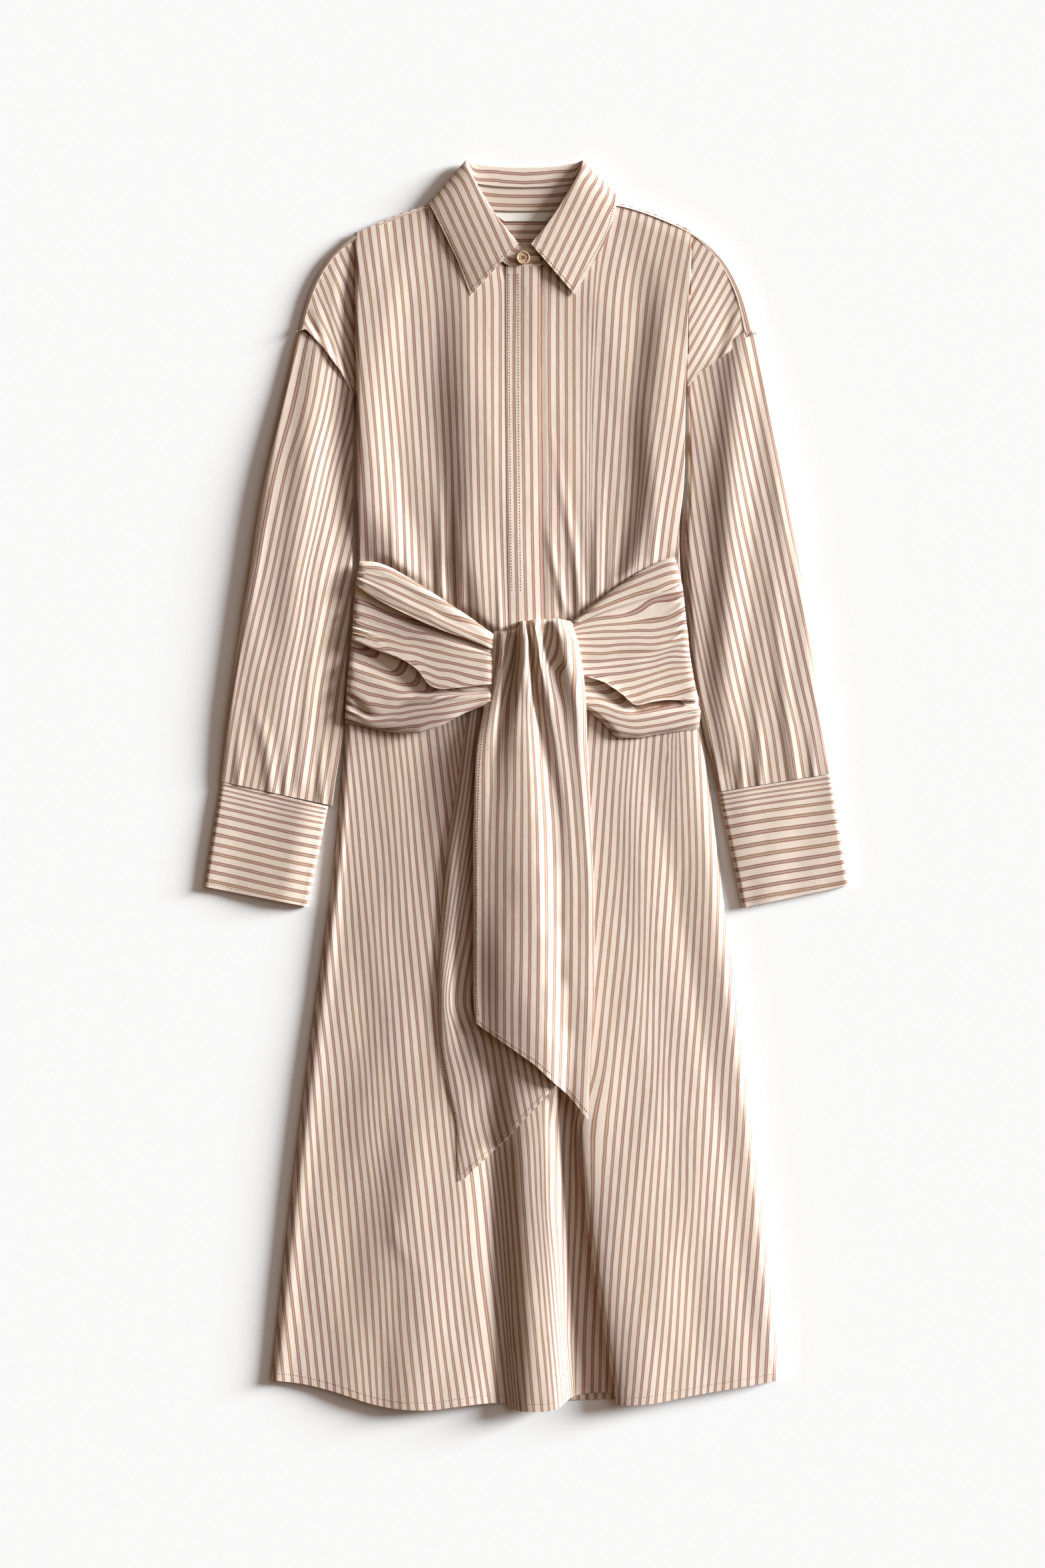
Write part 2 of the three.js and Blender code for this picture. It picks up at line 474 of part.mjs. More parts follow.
// The strip of yoke that rolls over the shoulder onto the front.
function shoulderRoll(side) {
  const key = side === "left" ? "wrapLeft" : "wrapRight";
  const sign = side === "left" ? -1 : 1;
  const middleLow = CLOTH / 2;
  const radius = (SHOULDER_LEVEL - CLOTH) / 2;
  const turns = [-90, -30, 30, 90];
  const rows = SHOULDER.map((row, i) => {
    const before = SHOULDER[Math.max(0, i - 1)];
    const after = SHOULDER[Math.min(SHOULDER.length - 1, i + 1)];
    const length = Math.hypot(after.x - before.x, after.y - before.y);
    const inward = [(after.y - before.y) / length, -(after.x - before.x) / length];
    const place = (depth, z) => [sign * (row.x + inward[0] * depth), row.y + inward[1] * depth, z];
    const rounded = turns.map((degrees) => {
      const angle = THREE.MathUtils.degToRad(degrees);
      return place(CLOTH / 2 + radius * (1 - Math.cos(angle)), middleLow + radius * (1 + Math.sin(angle)));
    });
    return [place(6, middleLow), ...rounded, place(Math.max(3, row[key]), middleLow + 2 * radius)];
  });
  return thickSheet(rows, CLOTH);
}

// Front panels
const bodiceRows = evenly(612, WAIST_Y - 4, 38);
function frontBodiceLeft() {
  const outline = [...FRONT_NECK.left, ...shoulderEdge("left", "wrapLeft", SEAM_GAP),
    ...bowed([-238, 467.8], ARMHOLE_LOW.left, ARMHOLE_BOW, 8).slice(1), ...BODICE_SIDE.left,
    [PLACKET.left[1] - SEAM_GAP, WAIST_Y], [PLACKET.left[0] - SEAM_GAP, PLACKET.top]];
  const columns = [-246, -222, -200, -188, -181, -178, -174, -170, ...evenly(-161, -112, 10),
    ...evenly(-104, -16, 6.3)];
  return laidPiece({ outline, columnsAt: () => columns, rows: bodiceRows, surface: frontSurface });
}
function frontBodiceRight() {
  const outline = [[UNDERLAP_X, PLACKET.top], ...FRONT_NECK.right,
    ...shoulderEdge("right", "wrapRight", SEAM_GAP),
    ...bowed([227, 463], ARMHOLE_LOW.right, ARMHOLE_BOW - 1, 8).slice(1),
    ...BODICE_SIDE.right, [UNDERLAP_X + 3, WAIST_Y]];
  const columns = [-16, 10, 16, 19, 23, 29, ...evenly(38, 92, 6.8), ...evenly(102, 150, 8), 157, 160, 164,
    168, 172, 184, 200, 218, 244];
  return laidPiece({ outline, columnsAt: () => columns, rows: bodiceRows, surface: rightFrontSurface });
}
function placket() {
  const outline = [[PLACKET.left[0], PLACKET.top], [PLACKET.right[0], PLACKET.top],
    [PLACKET.right[1], WAIST_Y + 0.2], [PLACKET.left[1], WAIST_Y + 0.2]];
  return prism(outline, PLACKET_TOP - DOUBLE_CLOTH, DOUBLE_CLOTH);
}

// Columns of the skirt follow its folds, so that crests and troughs stay sharp along their length.
function skirtColumns(y) {
  const along = clamp01((WAIST_Y - y) / (WAIST_Y + 650));
  const left = pathX(SKIRT_SIDE.left, y);
  const right = pathX(SKIRT_SIDE.right, y);
  const least = 1;
  const columns = [left - 3, left + 0.5, left + SIDE_ROLL / 2, left + SIDE_ROLL];
  SKIRT_FOLDS.forEach((fold) => {
    const crest = pathX(fold.path, y);
    const before = lerp(...fold.before, along);
    const after = lerp(...fold.after, along);
    const level = 0.9 * fold.flat;
    const halfway = 0.5 + fold.flat / 2;
    columns.push(crest - before, crest - before * halfway, crest - before * level - least / 2);
    columns.push(crest + after * level + least / 2, crest + after * halfway, crest + after);
  });
  columns.push(right - SIDE_ROLL, right - SIDE_ROLL / 2, right - 0.5, right + 3);
  for (let i = columns.length - 2; i >= 0; i -= 1) columns[i] = Math.min(columns[i], columns[i + 1] - least);
  for (let i = 1; i < columns.length; i += 1) columns[i] = Math.max(columns[i], columns[i - 1] + least);
  return columns;
}
function frontSkirt() {
  const seam = WAIST_Y - SEAM_GAP;
  const waistDrop = ([x, y]) => [x, Math.min(y, seam)];
  const outline = [...SKIRT_SIDE.left.map(waistDrop), ...FRONT_HEM.slice(1, -1),
    ...SKIRT_SIDE.right.map(waistDrop).reverse()];
  const rows = [162, 100, 74, 56, 30, -20, -90, -180, -270, -360, -450, -550, -655];
  return laidPiece({ outline, columnsAt: skirtColumns, rows, surface: frontSurface });
}

// Sash and tails
function sash(outline, surface, from, to) {
  const columns = evenly(from, to, 14);
  return laidPiece({ outline, columnsAt: () => columns, rows: evenly(244, 42, 8), surface });
}
function tieFront() {
  const columns = [-60, -46, -36, -28, -20, -11, -2, 8, 18, 28, 38, 46, 54, 64, 76];
  const rows = [174, 162, 148, 134, 118, 100, 80, 58, 30, -10, -70, -150, -230, -300, -352];
  const wall = (x, y) => CLOTH * 1.15 + 0.92 * knotRise(x, y);
  return laidPiece({ outline: TIE_FRONT, columnsAt: () => columns, rows, surface: tieFrontTop, wall });
}
function tieBack() {
  const columns = evenly(-98, 38, 11);
  const rows = [78, 62, 44, 20, -10, -50, -100, -160, -220, -280, -340, -380, -418];
  return laidPiece({ outline: TIE_BACK, columnsAt: () => columns, rows, surface: tieBackTop });
}

// Sleeves and cuffs: flattened tubes whose section is worked out from the two edges of each ring.
function flatTube(rings, height, cloth, creases) {
  const shares = [0, 0.012, 0.04, 0.1, 0.2, 0.3, 0.4, 0.54, 0.68, 0.8, 0.9, 0.96, 0.988, 1];
  const outside = [];
  const inside = [];
  rings.forEach(({ outer, inner, bow }) => {
    const width = Math.hypot(inner[0] - outer[0], inner[1] - outer[1]);
    const line = bowed(outer, inner, bow, 100);
    const place = (share, z) => {
      const at = clamp01(share) * 100;
      const low = Math.min(99, Math.floor(at));
      return [...mix(line[low], line[low + 1], at - low), z];
    };
    const section = (inset) => {
      const thick = height - 2 * inset;
      const edge = inset / width;
      const span = 1 - 2 * edge;
      const roundness = (share) => {
        const fromEdge = Math.min(share, 1 - share) * width * span;
        const radius = thick / 2;
        return fromEdge >= radius ? 1 : Math.sqrt(1 - (1 - fromEdge / radius) ** 2);
      };
      const crease = (share) => creases.reduce((sum, { at, rise, half }) => sum
        + rise * Math.max(0, Math.cos((Math.PI / 2) * Math.min(1, Math.abs(share - at) / half))) ** 2, 0);
      const top = shares.map((share) => place(edge + share * span,
        height / 2 + (thick / 2) * roundness(share) + crease(share)));
      const bottom = shares.slice(1, -1).reverse().map((share) => place(edge + share * span,
        height / 2 - (thick / 2) * roundness(share)));
      return [...top, ...bottom];
    };
    outside.push(section(0));
    inside.push(section(cloth));
  });
  return wallBetween(outside, inside, true);
}

// Collar
function collarSide(side) {
  return COLLAR_ROWS.map(({ seam, roll, edge, facing }) => {
    const flip = ([x, y, z]) => [side === "left" ? x : 2 * NECK_CENTRE_X - x, y, z];
    const angle = THREE.MathUtils.degToRad(facing);
    const from = new THREE.Vector3(...flip(edge));
    const roller = new THREE.Vector3(...flip(roll));
    const towards = roller.clone().sub(from).setZ(0).normalize();
    const sideways = new THREE.Vector3(-towards.y, towards.x, 0).multiplyScalar(side === "left" ? 1 : -1);
    const outward = sideways.multiplyScalar(Math.sin(angle)).setZ(-Math.cos(angle));
    const layer = (sign) => roller.clone().addScaledVector(outward, sign * COLLAR_ROLL)
      .addScaledVector(towards, -COLLAR_ROLL);
    const inner = layer(-1).toArray();
    const outer = layer(1).toArray();
    return [flip(seam), mix(flip(seam), inner, 0.5), inner, roller.toArray(), outer,
      mix(outer, flip(edge), 0.33), mix(outer, flip(edge), 0.66), flip(edge)];
  });
}
function collar() {
  const left = collarSide("left");
  const right = collarSide("right");
  return thickSheet([...left.reverse(), ...right.slice(1)], COLLAR_CLOTH);
}
function collarStand() {
  const rows = STAND_ROWS.map(({ top, foot }) => [top, mix(top, foot, 0.5), foot]);
  return thickSheet(rows, CLOTH);
}

// A sew-through button with a raised rim and four holes.
function button() {
  const { radius, thickness, rim, hole, spread } = BUTTON;
  const bevel = BUTTON_BEVEL;
  const profile = [[0, 0], [radius - bevel, 0], [radius, bevel], [radius, thickness - bevel],
    [radius - bevel, thickness], [radius - rim, thickness], [radius - rim - bevel, thickness - bevel],
    [0, thickness - bevel]].map(([x, y]) => new THREE.Vector2(x, y));
  const disc = new THREE.LatheGeometry(profile, 24).rotateX(Math.PI / 2);
  let solid = asSolid(disc);
  if (solid.volume() < 0) throw new Error("the button's profile runs the wrong way round");
  for (let i = 0; i < 4; i += 1) {
    const angle = Math.PI / 4 + (i * Math.PI) / 2;
    const drill = new THREE.CylinderGeometry(hole, hole, 3 * thickness, 8).rotateX(Math.PI / 2)
      .translate(spread * Math.cos(angle), spread * Math.sin(angle), 0);
    solid = solid.subtract(asSolid(drill));
  }
  return asGeometry(solid).translate(BUTTON.x, BUTTON.y, BUTTON.z);
}

// Materials and assembly
const fabric = (name, color) => new THREE.MeshStandardMaterial({ name, color, roughness: 0.9, metalness: 0 });
const stripedCotton = fabric("striped_cotton", STRIPE_CREAM);
const sashCotton = fabric("sash_cotton", STRIPE_BROWN);
const labelTape = fabric("label_tape", 0xe9e4da);
const buttonShell = new THREE.MeshStandardMaterial({ name: "button", color: 0xb59478, roughness: 0.35 });

const group = new THREE.Group();
function addPiece(name, piece, material) {
  const mesh = new THREE.Mesh(piece.isBufferGeometry ? piece : asGeometry(piece), material);
  mesh.name = name;
  group.add(mesh);
}

Object.entries(backPieces()).forEach(([name, geometry]) => addPiece(name, geometry, stripedCotton));
addPiece("front_bodice_left", frontBodiceLeft(), stripedCotton);
addPiece("front_bodice_right", frontBodiceRight(), stripedCotton);
addPiece("placket", placket(), stripedCotton);
addPiece("front_skirt", frontSkirt(), stripedCotton);
["left", "right"].forEach((side) => {
  const sleeve = flatTube(SLEEVE_RINGS[side], SLEEVE_HEIGHT, CLOTH, SLEEVE_CREASES);
  const cuff = flatTube(CUFF_RINGS[side], CUFF_HEIGHT, CUFF_CLOTH, []);
  addPiece(`sleeve_${side}`, sleeve, stripedCotton);
  addPiece(`cuff_${side}`, cuff, stripedCotton);
});
addPiece("collar_stand", collarStand(), stripedCotton);
addPiece("collar", collar(), stripedCotton);
addPiece("neck_label", prism(LABEL.outline, CLOTH + SEAM_GAP, LABEL.thickness), labelTape);
addPiece("button", button(), buttonShell);
addPiece("sash_left", sash(SASH_LEFT, sashLeftTop, -190, -18), sashCotton);
addPiece("sash_right", sash(SASH_RIGHT, sashRightTop, 30, 184), sashCotton);
addPiece("tie_back", tieBack(), sashCotton);
addPiece("tie_front", tieFront(), sashCotton);

export default group;
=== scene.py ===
# %% [markdown]
# # A striped shirt dress, laid flat
# The dress lies on its back on a pale surface, seen from straight above. Every piece of cloth is a thin
# closed shell: a grid of points in millimetres that carries the folds, and the same grid a cloth's
# thickness below it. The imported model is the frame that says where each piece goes, so it is loaded first.

# %% Load the frame and keep its box
import math
import bpy
import numpy as np
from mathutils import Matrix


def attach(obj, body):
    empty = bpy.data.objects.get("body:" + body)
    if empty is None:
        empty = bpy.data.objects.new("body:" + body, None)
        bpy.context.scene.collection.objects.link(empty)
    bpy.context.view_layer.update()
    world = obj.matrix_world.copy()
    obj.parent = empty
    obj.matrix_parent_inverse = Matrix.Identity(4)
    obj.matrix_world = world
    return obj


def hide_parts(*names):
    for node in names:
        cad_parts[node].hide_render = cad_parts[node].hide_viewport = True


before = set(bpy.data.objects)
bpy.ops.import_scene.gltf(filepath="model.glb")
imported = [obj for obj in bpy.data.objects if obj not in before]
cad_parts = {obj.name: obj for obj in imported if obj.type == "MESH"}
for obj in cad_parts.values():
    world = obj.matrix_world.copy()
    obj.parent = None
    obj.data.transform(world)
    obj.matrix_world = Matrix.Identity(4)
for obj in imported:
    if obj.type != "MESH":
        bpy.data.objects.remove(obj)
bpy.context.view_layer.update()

MM = 0.001
print("solids in the frame:", len(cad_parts))


# %% [markdown]
# ## Camera
# The photograph looks straight down. Its frame covers 1087 by 1631 mm of the table, so a camera about
# three metres up with a long lens shows the same outline, with next to no perspective in the folds.

# %% Camera above the dress
camera_data = bpy.data.cameras.new("camera")
camera_data.sensor_width = 36.0
camera_data.lens = 18.0 / (0.81535 / 3.2)
camera = bpy.data.objects.new("camera", camera_data)
bpy.context.collection.objects.link(camera)
camera.location = (-0.0042, 0.0007, 3.208)
bpy.context.scene.camera = camera
print("lens", round(camera_data.lens, 2), "mm")


# %% [markdown]
# ## Smooth lines through measured points
# Folds and hems were read off the photograph as a few points each. A cubic curve whose slopes are
# limited at turning points runs through them without overshooting, so a crest stays where it was read.

# %% Curve through points
def smooth_through(knots, values, at):
    """Values at the places `at`, on a smooth curve through (knots, values); straight beyond the ends."""
    knots = np.asarray(knots, float)
    values = np.asarray(values, float)
    at = np.asarray(at, float)
    if knots[0] > knots[-1]:
        knots, values = knots[::-1], values[::-1]
    columns = (-1,) + (1,) * (values.ndim - 1)
    gap = np.diff(knots).reshape(columns)
    slope = np.diff(values, axis=0) / gap
    before, after = slope[:-1], slope[1:]
    mean = (before * gap[1:] + after * gap[:-1]) / (gap[1:] + gap[:-1])
    limit = 3 * np.minimum(np.abs(before), np.abs(after))
    inner = np.where(before * after > 0, np.sign(mean) * np.minimum(np.abs(mean), limit), 0.0)
    tangent = np.concatenate([slope[:1], inner, slope[-1:]])
    i = np.clip(np.searchsorted(knots, at) - 1, 0, len(knots) - 2)
    t = (at - knots[i]).reshape(columns) / gap[i]
    inside = np.clip(t, 0, 1)
    a, b, h = values[i], values[i + 1], gap[i]
    curve = (a * (1 + 2 * inside) * (1 - inside) ** 2 + h * tangent[i] * inside * (1 - inside) ** 2
             + b * inside ** 2 * (3 - 2 * inside) - h * tangent[i + 1] * inside ** 2 * (1 - inside))
    return curve + np.where(t < 0, t, 0) * h * tangent[i] + np.where(t > 1, t - 1, 0) * h * tangent[i + 1]


def ease(t):
    t = np.clip(t, 0, 1)
    return t * t * (3 - 2 * t)


def path_x(path, y):
    """X of a line of (x, y) points at the heights y."""
    path = np.asarray(path, float)
    return smooth_through(path[:, 1], path[:, 0], np.asarray(y, float).ravel()).reshape(np.shape(y))


print("halfway up a smooth step:", smooth_through([0, 1, 2], [0, 0, 1], [1.5])[0])


# %% [markdown]
# ## Cloth as a closed shell
# Poplin is about a third of a millimetre thick. Each piece is a grid of points on its outer face, and
# the inner face lies one thickness behind it along the normals, with rims all round. A sleeve or cuff
# is a tube, so its columns join up. The UV map holds the stripe number across and the same unit along,
# so the pattern follows the cloth through every fold.

# %% Shell from a grid of points
POPLIN = 0.5
STRIPE_PITCH = 9.0


def grid_normals(grid, tube=False):
    if tube:
        across = np.roll(grid, -1, axis=1) - np.roll(grid, 1, axis=1)
    else:
        across = np.gradient(grid, axis=1)
    along = np.gradient(grid, axis=0)
    normal = np.cross(across, along)
    return normal / np.maximum(np.linalg.norm(normal, axis=2, keepdims=True), 1e-9)


def shell_arrays(grid, uv, thickness=POPLIN, tube=False):
    """Points, quads and UVs of a closed shell; the grid's outer side is the side that its rows and columns wind to."""
    rows, columns = grid.shape[:2]
    outer = grid
    inner = grid - grid_normals(grid, tube) * thickness
    points = np.concatenate([outer.reshape(-1, 3), inner.reshape(-1, 3)])
    size = rows * columns
    last = columns if tube else columns - 1
    r, c = np.meshgrid(np.arange(rows - 1), np.arange(last), indexing="ij")
    r, c = r.ravel(), c.ravel()
    n = (c + 1) % columns
    a, b, d, e = r * columns + c, (r + 1) * columns + c, (r + 1) * columns + n, r * columns + n
    faces = [np.stack([a, e, d, b], 1), np.stack([a, b, d, e], 1) + size]
    c = np.arange(last)
    n = (c + 1) % columns
    top, foot = c, (rows - 1) * columns + c
    faces.append(np.stack([c, c + size, n + size, n], 1))
    faces.append(np.stack([(rows - 1) * columns + n, (rows - 1) * columns + n + size, foot + size, foot], 1))
    if not tube:
        r = np.arange(rows - 1)
        a, b = r * columns, (r + 1) * columns
        faces.append(np.stack([b, b + size, a + size, a], 1))
        a, b = r * columns + columns - 1, (r + 1) * columns + columns - 1
        faces.append(np.stack([a, a + size, b + size, b], 1))
    flat_uv = uv.reshape(-1, 2)
    return points, np.concatenate(faces), np.concatenate([flat_uv, flat_uv])


def cloth_object(name, parts, slot, sharp=40):
    """One object from one or more shells given in millimetres."""
    points, faces, uvs, start = [], [], [], 0
    for p, f, u in parts:
        points.append(p)
        faces.append(f + start)
        uvs.append(u)
        start += len(p)
    points, faces, uvs = np.concatenate(points) * MM, np.concatenate(faces), np.concatenate(uvs)
    mesh = bpy.data.meshes.new(name)
    mesh.from_pydata(points.tolist(), [], faces.tolist())
    layer = mesh.uv_layers.new(name="cut")
    layer.data.foreach_set("uv", uvs[faces.ravel()].astype(np.float32).ravel())
    mesh.polygons.foreach_set("use_smooth", [True] * len(faces))
    mesh.set_sharp_from_angle(angle=math.radians(sharp))
    mesh.update()
    piece = bpy.data.objects.new(name, mesh)
    bpy.context.collection.objects.link(piece)
    piece.data.materials.append(finishes[slot])
    print(name, len(faces), "quads")
    return piece


finishes = {}


# %% [markdown]
# ## Stripe numbers
# Each visible stripe was followed down the photograph. Between the lines kept here the stripe number is
# found from the place, so a printed stripe runs where the real one does. It closes up where the cloth
# turns down into a fold.

# %% Stripe number from the place
def stripe_number(field, x, y):
    lines = sorted(field["lines"])
    places = smooth_through(field["levels"], np.array([field["lines"][n] for n in lines], float).T, y.ravel())
    at = x.ravel()
    i = np.clip((places < at[:, None]).sum(1) - 1, 0, len(lines) - 2)
    rows = np.arange(len(at))
    left, right = places[rows, i], places[rows, i + 1]
    names = np.array(lines, float)
    t = (at - left) / (right - left)
    inside = names[i] + np.clip(t, 0, 1) * (names[i + 1] - names[i])
    beyond = np.where(t < 0, at - left, np.where(t > 1, at - right, 0)) / STRIPE_PITCH
    return (inside + beyond).reshape(np.shape(x))


def down_uv(field, grid):
    return np.stack([stripe_number(field, grid[..., 0], grid[..., 1]), grid[..., 1] / STRIPE_PITCH], -1)


print("stripe pitch", STRIPE_PITCH, "mm")


# %% [markdown]
# ## Folds and crumples
# A fold is a soft ridge along a path: its profile across is a squared cosine, which meets the flat
# cloth without a kink. A few crossed waves with uneven lengths give the slight crumple of worn cotton.

# %% Ridges, troughs and crumple
def fold_height(x, y, path, rise, left, right, fade=25):
    """Height that one fold adds; rise and half-widths run from the path's first point to its last."""
    path = np.asarray(path, float)
    top, foot = path[0, 1], path[-1, 1]
    along = np.clip((top - y) / (top - foot), 0, 1)
    knots = np.linspace(0, 1, len(np.atleast_1d(rise)))
    high = np.interp(along, knots, np.atleast_1d(rise))
    across = x - path_x(path, y)
    reach = np.where(across < 0, np.interp(along, [0, 1], left), np.interp(along, [0, 1], right))
    profile = np.cos(np.clip(np.abs(across) / reach, 0, 1) * math.pi / 2) ** 2
    return high * profile * ease((top + fade - y) / fade) * ease((y - foot + fade) / fade)


def crumple(x, y, seed, size=0.35):
    """Soft uneven waves, the same at every run."""
    dice = np.random.default_rng(seed)
    total = np.zeros_like(x)
    for _ in range(9):
        angle = dice.uniform(-0.9, 0.9)
        wave = dice.uniform(38, 120)
        phase = dice.uniform(0, 2 * math.pi)
        bend = dice.uniform(0.3, 1.2) * np.sin(y / dice.uniform(60, 150) + dice.uniform(0, 6))
        total += np.sin((x * math.cos(angle) + y * math.sin(angle) * 0.5) * 2 * math.pi / wave + phase + bend)
    return size * total / 3


print("crumple at the middle:", round(float(crumple(np.zeros(1), np.zeros(1), 1)[0]), 3), "mm")


# %% [markdown]
# ## Outlines of the body
# The shoulder runs from the neck out and down to the dropped armhole. The side seams come down to the
# waist and flare to the hem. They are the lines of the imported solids, in millimetres.

# %% Lines of the body
SHOULDER = [[78, 607], [97, 605], [133, 594], [175, 575], [200, 555], [214, 537], [225, 515], [232, 494],
            [237.5, 473]]
FRONT_NECK = {"left": [[-21.5, 537], [-33, 549], [-47, 568], [-60, 587], [-68, 602], [-74, 606.5]],
              "right": [[14.5, 537], [29, 549], [43, 568], [56, 587], [64, 602], [72, 606.5]]}
FOLD_EDGE = {"left": [[-178.2, 590], [-180.2, 560], [-178.2, 537], [-178.9, 503], [-176.8, 410], [-176.1, 291],
                      [-176.8, 233], [-180, 190], [-181, 158]],
             "right": [[171.5, 590], [171.2, 540], [168.8, 505], [167.1, 442], [165.7, 410], [163.6, 311],
                       [158.8, 261], [160, 225], [164, 190], [168, 158]]}
PLACKET_EDGE = {"left": [[-21.5, 540], [-21.3, 428], [-20.5, 331], [-19.3, 234], [-17.5, 152]],
                "right": [[14.5, 540], [14.6, 428], [15.2, 331], [16.6, 234], [18.5, 152]]}
HEM = [[-266.2, -619], [-223, -625.5], [-191.4, -634], [-163.6, -643], [-130, -649], [-102, -649.7], [-71, -646],
       [-37, -643], [-19, -645.5], [-8, -650], [15, -650], [34, -646.2], [44.4, -639.2], [61.7, -634.4],
       [88, -633], [95, -644], [127, -642.7], [169, -635], [215.6, -627.4], [264.8, -619.1]]
FRONT_LEVEL = 7.4
SHOULDER_DROP = {"left": [[-244, 470], [-230, 474], [-212, 455], [-194, 431], [-180, 405]],
                 "right": [[244, 470], [230, 466], [212, 451], [196, 440], [180, 428], [168, 414]]}


def panel_top(side, x):
    """Upper end of a front panel: up the neck, then along the shoulder."""
    sign = -1 if side == "left" else 1
    line = np.array(FRONT_NECK[side] + [[sign * px, py] for px, py in SHOULDER[1:]], float)
    line[:, 0] *= sign
    order = np.argsort(line[:, 0])
    return np.interp(sign * x, line[order, 0], line[order, 1])


print("shoulder to shoulder", 2 * SHOULDER[-1][0], "mm")


# %% [markdown]
# ## Sash and tails: guide lines
# The sash comes in lengthwise folds that fan out from the knot. Each guide below is one crest, lip or
# trough: where it starts and ends, its height on the way, and the number of the stripe that it carries.
# A smooth surface through neighbouring guides is the folded cloth, and a guide that steps back under
# the one before it is a fold that overhangs.

